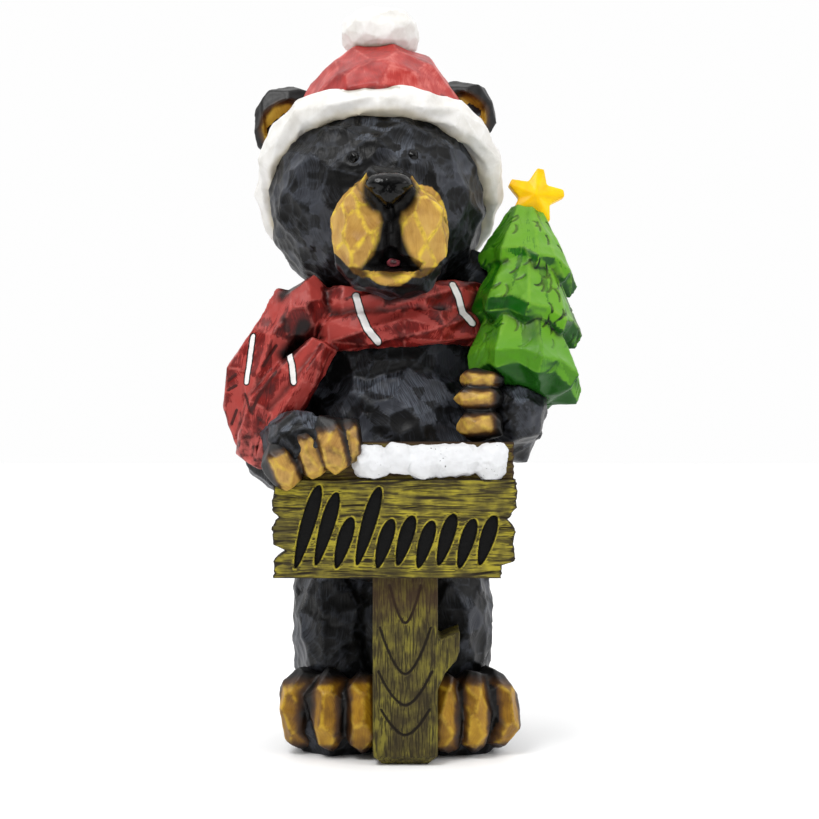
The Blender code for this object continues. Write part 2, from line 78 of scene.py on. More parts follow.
def pick(*pieces):
    """Selects these pieces alone. The first is the active one."""
    bpy.ops.object.select_all(action="DESELECT")
    for piece in pieces:
        piece.select_set(True)
    bpy.context.view_layer.objects.active = pieces[0]


@contextmanager
def editing(piece):
    """Edit mode, with all of the piece's mesh selected."""
    pick(piece)
    bpy.ops.object.mode_set(mode="EDIT")
    bpy.ops.mesh.select_all(action="SELECT")
    yield
    bpy.ops.object.mode_set(mode="OBJECT")


def at(x, y, z):
    """A point in millimetres."""
    return Vector((x, y, z)) * MM


def turned(x=0.0, y=0.0, z=0.0):
    """A rotation in degrees."""
    return Euler([math.radians(angle) for angle in (x, y, z)])


def put(piece, name, place=(0, 0, 0), turn=None):
    """Names a piece, and moves and turns its mesh to its place."""
    piece.name = name
    piece.location = place
    if turn is not None:
        piece.rotation_euler = turn
    pick(piece)
    bpy.ops.object.transform_apply(location=True, rotation=True, scale=True)
    return piece


def finish_with(piece, kind, **settings):
    """Adds a modifier with these settings, and applies it."""
    modifier = piece.modifiers.new(kind.lower(), kind)
    for name, value in settings.items():
        setattr(modifier, name, value)
    pick(piece)
    bpy.ops.object.modifier_apply(modifier=modifier.name)
    return piece


# %% [markdown]
# ## Flat cuts
# A carver turns a block round and takes a slice wherever it is still too full. Here a cube is cut
# by planes that touch a rounded form, each sunk a little by chance. The same seeds were used for
# the solid, so that the facets are the same.

# %% Cutting a block
GOLDEN_ANGLE = math.pi * (3 - math.sqrt(5))
SINK, SINK_RANGE = 1.15, (0.3, 1.7)
CUTS_ALONG, TURNED_ASIDE = 0.3, 0.9
ON_PLANE, WELD = 1e-6, 1e-5
BLOCK_TO_RADIUS = 3.2


def pare(block, planes):
    """Cuts a block with flat strokes. Each plane is an outward normal and a distance."""
    with editing(block):
        for normal, distance in planes:
            bpy.ops.mesh.select_all(action="SELECT")
            bpy.ops.mesh.bisect(plane_co=normal * distance, plane_no=normal, use_fill=True,
                                clear_outer=True, threshold=ON_PLANE)


def spread_directions(count, rng):
    """Directions spread evenly over a sphere, each turned aside a little."""
    step = TURNED_ASIDE / math.sqrt(count)
    for i in range(count):
        z = 1 - (2 * i + 1) / count
        r = math.sqrt(1 - z * z)
        aside = Vector([rng.uniform(-step, step) for _ in range(3)])
        angle = i * GOLDEN_ANGLE
        yield (Vector((r * math.cos(angle), r * math.sin(angle), z)) + aside).normalized()


def skin_plane(direction, radii, power):
    """The plane that touches a rounded box on this side: its outward normal and its distance."""
    normal = Vector([c / r**CUTS_ALONG for c, r in zip(direction, radii)]).normalized()
    dual = power / (power - 1)
    return normal, sum(abs(c * r) ** dual for c, r in zip(normal, radii)) ** (1 / dual)


def carve(name, place, radii, cuts, seed, power=2.2, turn=None, extra=()):
    """A rounded form in millimetres, cut from a cube by a number of flat strokes."""
    rng = random.Random(seed)
    radii = [r * MM for r in radii]
    sink = SINK * sum(radii) / 3 / cuts
    planes = []
    for direction in spread_directions(cuts, rng):
        normal, reach = skin_plane(direction, radii, power)
        planes.append((normal, reach - sink * rng.uniform(*SINK_RANGE)))
    planes += [(Vector(normal).normalized(), reach * MM) for normal, reach in extra]
    bpy.ops.mesh.primitive_cube_add(size=BLOCK_TO_RADIUS * max(radii))
    form = bpy.context.object
    pare(form, planes)
    return put(form, name, at(*place), turn)


def ring(steps, phase=0.0):
    """The cosine and sine of each step round a circle."""
    for i in range(steps):
        angle = 2 * math.pi * i / steps + phase
        yield math.cos(angle), math.sin(angle)


# %% [markdown]
# ## Rolled sheets
# Cloth ends, the tree's tiers and other forms that follow a line start as a flat grid. Its rows
# are set to the form's sections, its two long edges are welded, and its ends are filled.

# %% Rolling a grid


def roll_up(name, sections, place=(0, 0, 0), turn=None):
    """A closed skin through sections, which all have the same number of points."""
    sides = len(sections[0])
    bpy.ops.mesh.primitive_grid_add(x_subdivisions=sides, y_subdivisions=len(sections) - 1)
    skin = bpy.context.object
    rows = np.array([[*section, section[0]] for section in sections], np.float32)
    skin.data.vertices.foreach_set("co", rows.ravel())
    with editing(skin):
        bpy.ops.mesh.remove_doubles(threshold=WELD)
        bpy.ops.mesh.fill_holes(sides=0)
        bpy.ops.mesh.normals_make_consistent(inside=False)
    return put(skin, name, place, turn)


def wedge(name, start, end, width, depth, facing):
    """A gouge with pointed ends, which cuts a groove from start to end. Millimetres."""
    start, end, facing = at(*start), at(*end), Vector(facing).normalized()
    across = (end - start).cross(facing).normalized() * width * MM / 2
    middle, rise = (start + end) / 2, facing * depth * MM
    tips = [start + rise * 0.2, end + rise * 0.2]
    belt = [middle + across + rise, middle - rise, middle - across + rise, middle + rise]
    return roll_up(name, [[tips[0]] * 4, belt, [tips[1]] * 4])


def cut_out(piece, *cutters):
    """Cuts forms out of a piece, and removes them."""
    for cutter in cutters:
        finish_with(piece, "BOOLEAN", operation="DIFFERENCE", solver="MANIFOLD", object=cutter)
        bpy.data.objects.remove(cutter)
    return piece


# %% [markdown]
# ## One fine skin
# Casting melts all the forms of a carving into one skin. Blender's voxel remesh does the same:
# forms that overlap become one closed surface of small even faces, which can hold tool marks.

# %% Melting forms together


def melt(name, forms, voxel, rounds=2):
    """Joins forms and remeshes them at a voxel size in millimetres, then eases the edges."""
    pick(*forms)
    bpy.ops.object.join()
    piece = put(forms[0], name)
    finish_with(piece, "REMESH", mode="VOXEL", voxel_size=voxel * MM)
    print(name, len(forms), "forms,", len(piece.data.polygons), "faces")
    return finish_with(piece, "SMOOTH", factor=0.5, iterations=rounds)


def flat_sole(piece):
    """Cuts the piece off level with the ground."""
    with editing(piece):
        bpy.ops.mesh.bisect(plane_co=(0, 0, 0), plane_no=(0, 0, -1), use_fill=True,
                            clear_outer=True, threshold=ON_PLANE)
    return piece


# %% [markdown]
# ## The body
# Belly, chest and back are broad rounds, and the legs are one block with a notch behind, as a
# carver leaves it. The lump behind the sign ties the sign to the belly.

# %% Body
body = melt("body", [
    carve("belly", (-2, -4, 212), (78, 77, 88), 88, 1),
    carve("chest", (-5, 2, 288), (74, 59, 58), 56, 2),
    carve("back", (-4, 24, 215), (71, 56, 118), 60, 7, power=2.4),
    carve("log", (-5, 8, 118), (74, 64, 128), 80, 3, power=2.5),
    carve("thigh_right", (-42, -14, 88), (37, 50, 70), 40, 4),
    carve("thigh_left", (34, -14, 88), (37, 50, 70), 40, 5),
    carve("tail", (-4, 76, 122), (17, 17, 20), 20, 6),
    carve("heel_right", (-38, 42, 14), (30, 38, 24), 24, 8),
    carve("heel_left", (30, 42, 14), (30, 38, 24), 24, 9),
    carve("sign_back", (-3, -80, 172), (62, 30, 40), 30, 103, power=2.6),
], 1.9)
cut_out(body, wedge("between_legs", (-4, 68, 104), (-4, 72, -40), 46, 17, (0, 1, 0)))
flat_sole(body)

# %% [markdown]
# ## Arms and hands
# Each arm is a few overlapping rounds, from the shoulder down to the hand. The right one reaches
# over the sign, and the left one comes forward under the tree. They are a piece of their own,
# melted with a voxel size of their own.

# %% Arms and hands
arms = melt("arms", [
    carve("arm_right", (-82, -8, 268), (29, 32, 58), 34, 31, turn=turned(y=14)),
    carve("elbow_right", (-91, -22, 224), (26, 36, 30), 28, 32),
    carve("forearm_right", (-77, -60, 228), (23, 46, 22), 28, 33),
    carve("hand_right", (-62, -100, 230), (30, 26, 18), 28, 34, turn=turned(y=14)),
    carve("arm_left", (78, -2, 268), (28, 32, 58), 34, 35, turn=turned(y=-12)),
    carve("elbow_left", (83, -14, 247), (24, 36, 26), 28, 36),
    carve("shoulder_left", (57, 4, 340), (24, 34, 34), 24, 38),
    carve("hand_left", (86, -62, 249), (21, 36, 22), 28, 37),
], 2.0)

# %% [markdown]
# ## Fingers
# The fingers are short blunt blocks in gold, four over the top of the sign and three round the
# tree's foot. One list holds each one's place, radii and lean, because their paint needs the same
# numbers later.

# %% Fingers
right_fingers = (
    ((-80, -112, 212), (12, 14, 16), -24),
    ((-62, -114, 222), (10.5, 14, 19), -20),
    ((-46, -115, 227), (12.5, 14, 20), -14),
    ((-33, -111, 230), (8, 12, 16), -8),
)
left_fingers = (
    ((60, -84, 273), (16, 12, 7), 4),
    ((58, -88, 259.5), (17, 13, 8.5), 0),
    ((59, -86, 241), (16.5, 14, 11.5), -4),
)
fingers = melt("fingers", [
    carve(f"finger_{i}", place, radii, 22, 40 + i, power=2.4, turn=turned(y=lean))
    for i, (place, radii, lean) in enumerate(right_fingers + left_fingers)
], 1.2, rounds=5)

# %% [markdown]
# ## Feet and toes
# The feet are low rounds cut off level with the ground, and three long toes lie over the front of
# each. The toes fan out, so each has its own turn about the upright.

# %% Feet and toes
TOE_HEIGHT, TOE_RADII = 32, (13.5, 25, 29)
feet = flat_sole(melt("feet", [
    carve("foot_right", (-45, -32, 22), (38, 46, 36), 30, 11),
    carve("foot_left", (42, -32, 22), (37, 46, 36), 30, 12),
], 1.7))
toe_places = {
    "right": ((-68, -54, 34), (-48, -66, 12), (-26, -70, 0)),
    "left": ((33, -70, 0), (52, -66, -12), (68, -55, -34)),
}
toes = flat_sole(melt("toes", [
    carve(f"toe_{side}_{i}", (x, y, TOE_HEIGHT), TOE_RADII, 22, 20 + i + len(side), power=2.4,
          turn=turned(z=-yaw))
    for side, places in toe_places.items()
    for i, (x, y, yaw) in enumerate(places)
], 1.5))

# %% [markdown]
# ## The head
# The muzzle is two full lips that meet in a furrow, with a short bridge above and the mouth cut
# in below. The chin is a low ledge, and the tongue shows as a small pink slip. The chin goes on
# last, so that cutting the mouth leaves it whole.

# %% Head
EYE_PLACES = {"right": (-32, -74.5, 433), "left": (10.5, -71.5, 435)}
EYE_RADII = (4.6, 4.6, 5.2)
head = melt("head", [
    carve("skull", (-17, -2, 409), (81, 79, 71), 98, 51, power=2.35),
    carve("muzzle", (-6.5, -72, 379), (40, 38, 39), 40, 52),
    carve("lip_right", (-26, -88, 375), (21, 26, 34), 32, 53),
    carve("lip_left", (13, -88, 375), (21, 26, 34), 32, 54),
    carve("nose_bridge", (-8, -82, 404), (23, 32, 20), 24, 55),
], 1.5, rounds=1)
cut_out(head, carve("mouth", (-3, -109, 354), (19, 17, 6), 16, 56))
head = melt("head", [head, carve("chin", (-5, -82, 344), (30, 29, 9.5), 26, 57)], 1.5)
tongue = melt("tongue", [carve("tongue", (-3.4, -99, 355.6), (4.8, 9, 2.5), 30, 58)], 0.5, rounds=9)
eyes = melt("eyes", [
    carve(f"eye_{side}", place, EYE_RADII, 16, 60 + i)
    for i, (side, place) in enumerate(EYE_PLACES.items())
], 0.7, rounds=18)

# %% [markdown]
# ## The nose
# The nose is a smooth pad under its gloss, so it starts as a ball. Its points are set out to a
# full block that narrows to a V below, with two nostrils and a groove down the middle.

# %% Nose
NOSE_PLACE, NOSE_RADII, NOSE_FULLNESS = np.array((-6.4, -109, 405.2)), (17, 17, 12.6), 2.8
bpy.ops.mesh.primitive_ico_sphere_add(subdivisions=6, radius=1)
nose = bpy.context.object
ball = np.empty((len(nose.data.vertices), 3), np.float32)
nose.data.vertices.foreach_get("co", ball.ravel())
ball = ball.astype(float) / (np.abs(ball) ** NOSE_FULLNESS).sum(1)[:, None] ** (1 / NOSE_FULLNESS)
below = np.clip((0.25 - ball[:, 2]) / 1.25, 0, 1)
ball[:, 0] *= 1 - 0.78 * below
ball[:, 1] *= 1 - 0.12 * np.clip(ball[:, 2], 0, 1) ** 2
pad = ball * NOSE_RADII
nostrils = np.exp(-(((np.abs(pad[:, 0]) - 9) / 3.2) ** 2) - ((pad[:, 2] + 1.5) / 2.4) ** 2)
groove = np.exp(-((pad[:, 0] / 1.0) ** 2)) * np.clip((3 - pad[:, 2]) / 4, 0, 1)
pad[:, 1] += (2.6 * nostrils + 0.9 * groove) * (pad[:, 1] < 0)
nose.data.vertices.foreach_set("co", ((pad + NOSE_PLACE) * MM).astype(np.float32).ravel())
put(nose, "nose")
print("nose", len(pad), "points")

# %% [markdown]
# ## The ears
# An ear is a round slab with its front gouged out, so that a rim stands round a gold hollow. The
# same round form at three quarters of the size makes the hollow, and a boolean takes it away.

# %% Ears
HOLLOW_SHARE, HOLLOW_DEPTH, HOLLOW_DROP = 0.74, 9, 3


def ear(name, place, radii, seed):
    """A round ear, hollowed in front so that a rim is left."""
    whole = carve(name, place, radii, 28, seed, power=2.4)
    middle = (place[0], place[1] - radii[1], place[2] - HOLLOW_DROP)
    inner_radii = (radii[0] * HOLLOW_SHARE, HOLLOW_DEPTH, radii[2] * HOLLOW_SHARE)
    return cut_out(whole, carve("hollow", middle, inner_radii, 18, seed + 10))


ears = melt("ears", [
    ear("ear_right", (-84, 4, 472.5), (28, 12, 28), 62),
    ear("ear_left", (48, 4, 480), (25.5, 12, 25), 63),
], 1.3)

# %% [markdown]
# ## The hat
# The crown is the form that two balls span, cut off along the slanting edge of the hat. The nape
# carries it down over the back of the head. A thick roll lies along the edge, round the face. It
# starts as a torus whose points are moved to a rounded rectangle, and six sides keep it faceted.

# %% Hat
HAT_CENTRE, HAT_LEAN = Vector((-15, 0, 417)), 52
HAT_BALLS = (((-14, 6, 422), (80, 80, 72)), ((-13, 2, 468), (63, 64, 64)))
HAT_OPENING = turned(x=-HAT_LEAN).to_matrix() @ Vector((0, 0, 1))
BRIM_AXES, BRIM_TUBE, BRIM_NARROWING = (84.5, 80), (12.5, 15.5), 0.2


def crown_form(name, balls, centre, opening, cuts, seed):
    """The hull of two balls, cut flat, and cut off through its centre at a slant."""
    rng = random.Random(seed)
    planes = []
    for normal in spread_directions(cuts, rng):
        reach = max(
            Vector(place).dot(normal) + Vector([n * r for n, r in zip(normal, radii)]).length
            for place, radii in balls
        )
        planes.append((normal, (reach - centre.dot(normal) - rng.uniform(0.3, 2.7)) * MM))
    planes.append((-opening, 0))
    bpy.ops.mesh.primitive_cube_add(size=0.72 * HEIGHT)
    form = bpy.context.object
    pare(form, planes)
    return put(form, name, at(*centre))


def roll_form(name, place, axes, tube, steps, sides, wobble, seed, turn=None, power=2.0,
              narrowing=0.0):
    """A ring along a rounded rectangle, from a torus whose points are moved. Millimetres.

    Its back half can narrow towards the back.
    """
    rng = random.Random(seed)
    (a, b), (outwards, upwards), wobble = [v * MM for v in axes], [v * MM for v in tube], wobble * MM
    bpy.ops.mesh.primitive_torus_add(major_segments=steps, minor_segments=sides)
    form = bpy.context.object
    moved = []
    for i, (c, s) in enumerate(ring(steps)):
        x, y = (math.copysign(abs(v) ** (2 / power), v) for v in (c, s))
        x *= 1 - narrowing * max(y, 0)
        out = Vector((c / a, s / b, 0)).normalized()
        for tube_c, tube_s in ring(sides, phase=math.pi * (i % 2) / sides):
            point = Vector((a * x, b * y, 0)) + out * outwards * tube_c
            point.z += upwards * tube_s
            moved.append(point + Vector([rng.uniform(-wobble, wobble) for _ in range(3)]))
    form.data.vertices.foreach_set("co", np.array(moved, np.float32).ravel())
    with editing(form):
        bpy.ops.mesh.normals_make_consistent(inside=False)
    return put(form, name, at(*place), turn)


crown = melt("crown", [
    crown_form("crown", HAT_BALLS, HAT_CENTRE, HAT_OPENING, 60, 71),
    carve("nape", (-17, -2, 409), (82.8, 80.8, 72.8), 98, 51, power=2.35,
          extra=((-HAT_OPENING, -HAT_OPENING.dot((2, 2, 8))),)),
], 2.2)
brim = melt("brim", [
    roll_form("brim", HAT_CENTRE, BRIM_AXES, BRIM_TUBE, 20, 6, 1.3, 72,
              turn=turned(x=-HAT_LEAN), power=2.5, narrowing=BRIM_NARROWING),
], 1.8, rounds=7)
bobble = melt("bobble", [
    carve("bobble", (-14, 5, 541.5), (29, 27, 18.5), 36, 73, power=2.5),
], 1.2, rounds=4)

# %% [markdown]
# ## The scarf
# Two folds lie round the neck. Both ends come out of a knot on the shoulder and hang forward over
# the arm, with a fringe. It is cast stiff with the rest, so it is carved like the rest: the folds
# are rolls, the ends are strips with seven sides, and the fringe is three gouged grooves.

# %% Scarf
STRIP_SECTION = ((1, 0.25), (0.6, 1), (-0.1, 0.72), (-0.6, 1), (-1, 0.3), (-0.7, -1), (0.7, -1))
END_FACING = (-0.35, -0.93, 0.1)


def ribbon(name, spine, widths, depths, facing, wobble, seed):
    """A thick strip of cloth through points in millimetres, with chamfered edges."""
    rng = random.Random(seed)
    spine = [at(*point) for point in spine]
    facing = Vector(facing).normalized()
    rows = []
    for i, (point, width, depth) in enumerate(zip(spine, widths, depths)):
        along = spine[min(i + 1, len(spine) - 1)] - spine[max(i - 1, 0)]
        across = along.cross(facing).normalized()
        row = []
        for side, out in STRIP_SECTION:
            aside = at(*[rng.uniform(-wobble, wobble) for _ in range(3)])
            row.append(point + across * width * MM * side + facing * depth * MM * out + aside)
        rows.append(row)
    return roll_up(name, rows)


outer_spine = ((-74, -40, 338), (-91, -48, 308), (-108, -50, 278), (-114, -47, 250),
               (-110, -47, 226))
inner_spine = ((-54, -68, 300), (-72, -72, 276), (-92, -70, 250), (-104, -64, 226),
               (-109, -58, 214))
end_outer = ribbon("end_outer", outer_spine, (16, 19, 21, 18, 12), (14, 15, 13, 11, 8),
                   (-0.55, -0.83, 0.1), 1.6, 84)
end_inner = ribbon("end_inner", inner_spine, (10, 17, 21, 17, 12), (12, 14, 14, 11, 8),
                   END_FACING, 1.6, 85)
scarf = melt("scarf", [
    roll_form("fold_low", (-3, -4, 310), (71, 65), (12, 14), 17, 6, 1.2, 81, turn=turned(y=-3)),
    roll_form("fold_high", (-4, -4, 332), (66, 60), (12, 13), 15, 6, 1.2, 82, turn=turned(y=-3)),
    carve("knot", (-70, -40, 322), (20, 28, 26), 26, 83, turn=turned(y=24)),
    end_outer,
    end_inner,
], 1.8, rounds=1)
cut_out(scarf, *[
    wedge(f"fringe_{i}", (-106 + 7 * i, -79 - 1.5 * i, 236 + 5 * i),
          (-113 + 7 * i, -70 - 2 * i, 206 + 2 * i), 4.5, 5, END_FACING)
    for i in range(3)
])

# %% [markdown]
# ## The tree
# Each tier is a cone of eight lobes with a thick rim, and the three lean back on the shoulder.
# Four rings of points make a cone: its top, its rim, the rim's lower edge and its underside. Each
# corner is moved a little by chance, so that no two tiers are alike.

# %% Tree
LOBES, TOP_SHIFT = 8, 0.24


def tier(name, place, radius, top_radius, height, lip, seed, turn):
    """A faceted cone with a thick rim that dips at each lobe's corner. Millimetres."""
    upright = at(-TOP_SHIFT * height, 0, 0)
    upright.rotate(turned(z=-math.degrees(turn.z)))
    rng = random.Random(seed)
    levels = (
        (top_radius, top_radius * 0.9, height, height),
        (radius, radius * 0.86, 0, height * 0.09),
        (radius * 0.93, radius * 0.78, -lip * 0.55, -lip * 0.25),
        (radius * 0.5, radius * 0.5, -lip * 0.8, -lip * 0.8),
    )
    rows = []
    for corner_radius, notch_radius, corner_z, notch_z in levels:
        row = []
        for i, (c, s) in enumerate(ring(2 * LOBES)):
            reach, z = (notch_radius, notch_z) if i % 2 else (corner_radius, corner_z)
            reach *= rng.uniform(0.96, 1.03)
            point = at(reach * c, reach * s, z + rng.uniform(-1, 1))
            row.append(point if rows else point + upright)
        rows.append(row)
    return roll_up(name, rows, at(*place), turn)


tree = melt("tree", [
    tier("tier_0", (93, -60, 277), 45, 20, 60, 20, 91, turned(x=-15, y=16, z=8)),
    tier("tier_1", (93.5, -45, 317), 44, 18, 56, 18, 92, turned(x=-15, y=16, z=-4)),
    tier("tier_2", (97, -28, 356), 39, 14, 46, 17, 93, turned(x=-15, y=17, z=5)),
], 1.4)

# %% [markdown]
# ## The star
# The star is thick and blunt, with its two faces raised to a point. Its outline is drawn once, with
# each corner cut off, and four sections of it make the body: a point, two full outlines, a point.

# %% Star
STAR_POINTS, STAR_OUTER, STAR_INNER = 5, 22, 13
TIP_HALF, NOTCH_HALF = 2.6, 0.8
STAR_RIM, STAR_THICKNESS = 4, 8.5
star_edge = []
for i, (c, s) in enumerate(ring(2 * STAR_POINTS, phase=math.pi / 2)):
    reach, half = (STAR_INNER, NOTCH_HALF) if i % 2 else (STAR_OUTER, TIP_HALF)
    star_edge += [(reach * c + half * s, reach * s - half * c),
                  (reach * c - half * s, reach * s + half * c)]
star_sections = [
    [at(x * share, y, z * share) for x, z in star_edge]
    for share, y in ((0, -STAR_THICKNESS), (1, -STAR_RIM), (1, STAR_RIM), (0, STAR_THICKNESS))
]
star = melt("star", [roll_up("star", star_sections, at(103.5, -15, 413.5), turned(x=-8, y=12))], 0.7,
            rounds=14)

# %% [markdown]
# ## The snow
# Snow lies on the sign in five soft lumps that run into one another. Their places and half widths
# are shares of the sign's width, and each is cut off flat on top.

# %% Snow
SIGN_WIDTH, SIGN_HEIGHT, SIGN_THICKNESS = 173, 69, 27
TOP_PLANK_HEIGHT, TOP_PLANK_SETBACK, SNOW_THICKNESS = 26, 5, 32
SIGN_X, SIGN_Y, SIGN_Z = -2.5, -114, 133.5
SNOW_LUMPS = ((-0.1, 0.074, 13), (0.015, 0.07, 11.5), (0.12, 0.072, 13.5),
              (0.245, 0.11, 12.8), (0.39, 0.07, 14))
SNOW_TOP, SNOW_FLAT = SIGN_Z + SIGN_HEIGHT + TOP_PLANK_HEIGHT - 1.5, 0.8
snow = melt("snow", [
    carve(f"lump_{i}",
          (x * SIGN_WIDTH + SIGN_X, 0.3 * SNOW_THICKNESS + SIGN_Y, SNOW_TOP - SNOW_FLAT * drop),
          (half * SIGN_WIDTH, SNOW_THICKNESS / 2, drop), 24, 110 + i, power=2.5,
          extra=(((0, 0, 1), SNOW_FLAT * drop),))
    for i, (x, half, drop) in enumerate(SNOW_LUMPS)
], 1.1, rounds=5)

# %% [markdown]
# ## The sign
# The sign is two planks on a post, and their grain is carved with a gouge along the wood. A fine
# grid stands in for a plank's face, so that each point can be sunk by the depth of the wood there.
# Chance comes from a lattice of numbers made in code, which gives the same values on each run.

# %% Chance and noise
X_PRIME, Y_PRIME, Z_PRIME, SEED_PRIME = 73856093, 19349663, 83492791, 2654435761
MIXING_PRIME = 1274126177


def lattice(x, y, z, seed):
    """A value from 0 to 1 by chance at each corner of a lattice of whole numbers."""
    mixed = (x * X_PRIME) ^ (y * Y_PRIME) ^ (z * Z_PRIME) ^ (seed * SEED_PRIME)
    mixed = (mixed ^ (mixed >> 13)) * MIXING_PRIME & 0xFFFFFFFF
    return ((mixed ^ (mixed >> 16)) & 0xFFFF) / 0xFFFF


def noise(points, size, seed=0):
    """Smooth noise from 0 to 1 at points. size is one step in their unit, or one for each axis."""
    places = np.asarray(points, float) / size
    corner = np.floor(places).astype(np.int64)
    share = places - corner
    share = share * share * (3 - 2 * share)
    total = np.zeros(len(places))
    for i in range(8):
        step = np.array([i & 1, i >> 1 & 1, i >> 2])
        weight = np.prod(np.where(step, share, 1 - share), axis=1)
        total += weight * lattice(*(corner + step).T, seed)
    return total


def smooth_step(value, start, end):
    """0 at start and before, 1 at end and beyond."""
    share = np.clip((value - start) / (end - start), 0, 1)
    return share * share * (3 - 2 * share)


# %% [markdown]
# ## Grain and strokes
# Grain comes from noise that is stretched along the wood. The front of the lower plank has a row
# of ten leaning strokes cut into it, pointed at both ends and of two heights. Each is given as a
# distance in from its edge, so that carving and paint can share it.

# %% Grain and strokes
FAR_OUT = -99.0
STROKE_HEIGHTS = (0.94, 0.86, 0.58, 0.92, 0.56, 0.60, 0.54, 0.62, 0.56, 0.60)
STROKE_LEAN, STROKE_FOOT, STROKE_REACH = 0.28, 0.10, 0.90
STROKE_WIDTH, WIDTH_AT_FOOT, WIDENING, UNEVEN_FOOT = 0.40, 0.65, 0.25, 0.03
FIRST_STROKE, LAST_STROKE = -0.40, 0.345


def wood_grain(x, z, size):
    """Grain that runs along X, from 0 on the crests to 1 in the grooves."""
    bend = 2.2 * np.sin(x / 21 + z / 19) + 3.0 * noise(np.c_[x, z, z * 0], (24, 11, 1), 5)
    fine = noise(np.c_[x, z + bend, z * 0], (size * 14, size, 1), 6)
    return np.abs(2 * fine - 1) ** 1.5


def stroke_edges(x, z):
    """The distance in from the nearest stroke's edge, below zero outside."""
    first, last = FIRST_STROKE * SIGN_WIDTH, LAST_STROKE * SIGN_WIDTH
    foot = STROKE_FOOT * SIGN_HEIGHT
    pitch = (last - first) / (len(STROKE_HEIGHTS) - 1)
    inside = np.full(len(x), FAR_OUT)
    for i, height in enumerate(STROKE_HEIGHTS):
        low = foot + UNEVEN_FOOT * SIGN_HEIGHT * (i % 2)
        half = (foot + STROKE_REACH * SIGN_HEIGHT * height - low) / 2
        up = (z - low) / half - 1
        width = STROKE_WIDTH * pitch * (WIDTH_AT_FOOT + WIDENING * (np.clip(up, -1, 1) + 1))
        across = (x - first - i * pitch - (z - low) * STROKE_LEAN) / width
        far = np.hypot(across, up) + 1e-6
        inside = np.maximum(inside, (1 - far) * far / np.hypot(across / width, up / half))
    return inside


# %% [markdown]
# ## The planks
# A grid of fine cells is set out between the plank's two ends, and each point goes back by the
# depth of the wood there. Extruding the grid gives the plank its thickness. The lower plank is
# broken along its grain at both ends, and the upper one is sawn.

# %% Planks
GRAIN_DEPTH, STROKE_DEPTH = 1.4, 2.2
GROOVE_PITCH, GROOVE_SWAY, SWAY_LENGTH, WORN_EDGE = 7.67, 1.1, 20, 1.1
GROOVE_SHARE, FINE_SHARE, FINE_SIZE = 0.6, 0.7, 1.5
GRID_X, GRID_Z = 1.0, 0.6
BROKEN_INSET, SAWN_INSET, SAWN_LEFT, SAWN_RIGHT = 0.8, 0.6, 0.497, 0.487
BROKEN_ENDS = {
    -1: ((0, 0.004), (0.2, 0.008), (0.28, 0.055), (0.34, 0.008), (0.52, 0.0), (0.62, 0.022),
         (0.7, 0.0), (0.9, 0.006), (1, 0.012)),
    1: ((0, 0.065), (0.13, 0.063), (0.17, 0.008), (0.36, 0.012), (0.5, 0.004), (0.6, 0.038),
        (0.72, 0.0), (0.92, 0.0), (1, 0.006)),
}


def keep(piece, name, values, kind="FLOAT"):
    """Stores a value, or a vector, for each point of the piece, for its paint to read."""
    attribute = piece.data.attributes.new(name, kind, "POINT")
    field = "value" if kind == "FLOAT" else "vector"
    attribute.data.foreach_set(field, np.asarray(values, np.float32).ravel())


def plank(name, low, high, ends, front, strokes):
    """A plank of the sign. ends gives its two ends for an array of heights."""
    columns, rows = int(SIGN_WIDTH / GRID_X), int((high - low) / GRID_Z)
    bpy.ops.mesh.primitive_grid_add(x_subdivisions=columns, y_subdivisions=rows)
    board = bpy.context.object
    z = np.repeat(np.linspace(low, high, rows + 1), columns + 1)
    left, right = ends(z)
    share = np.tile(np.linspace(0, 1, columns + 1), rows + 1)
    x = left + (right - left) * share
    sway = GROOVE_SWAY * np.sin(x / SWAY_LENGTH)
    groove = (np.cos(2 * math.pi * (z + sway) / GROOVE_PITCH - math.pi) + 1) / 2
    depth = GRAIN_DEPTH * (GROOVE_SHARE * groove**2 + FINE_SHARE * wood_grain(x, z, FINE_SIZE))
    rim = np.minimum(np.minimum(x - left, right - x), np.minimum(z - low, high - z))
    depth += GRAIN_DEPTH * np.exp(-rim / WORN_EDGE)
    inside = stroke_edges(x, z) if strokes else np.full(len(x), FAR_OUT)
    cut_in = smooth_step(inside, -0.3, 0.9)
    depth = depth * (1 - cut_in) + (STROKE_DEPTH + 0.5 * noise(np.c_[x, z, z], 5, 7)) * cut_in
    depth -= 0.5 * smooth_step(inside, -2.4, -0.7) * (1 - cut_in)
    grid = np.c_[x + SIGN_X, SIGN_Y + front + depth, z + SIGN_Z] * MM
    board.data.vertices.foreach_set("co", grid.astype(np.float32).ravel())
    keep(board, "depth", depth)
    keep(board, "inside", inside)
    with editing(board):
        bpy.ops.mesh.extrude_region_move(
            TRANSFORM_OT_translate={"value": (0, SIGN_THICKNESS * MM, 0)})
        bpy.ops.mesh.select_all(action="SELECT")
        bpy.ops.mesh.normals_make_consistent(inside=False)
    print(name, columns, "by", rows, "cells, up to", round(depth.max(), 1), "mm deep")
    return put(board, name)


def splinters(z, depth, size, seed):
    """How far the wood's fibres stick out at these heights, up to half the depth either way."""
    return depth * (noise(np.c_[z, z * 0, z * 0], (size, 1, 1), seed) - 0.5)


def broken_ends(z):
    """The lower plank's ends, broken along the grain."""
    splinter = splinters(z, 1.6, 1.7, 8)
    left, right = (
        np.interp(z / SIGN_HEIGHT, *zip(*BROKEN_ENDS[side])) * SIGN_WIDTH for side in (-1, 1)
    )
    return (left - SIGN_WIDTH / 2 + BROKEN_INSET + splinter,
            SIGN_WIDTH / 2 - BROKEN_INSET - right + splinter)


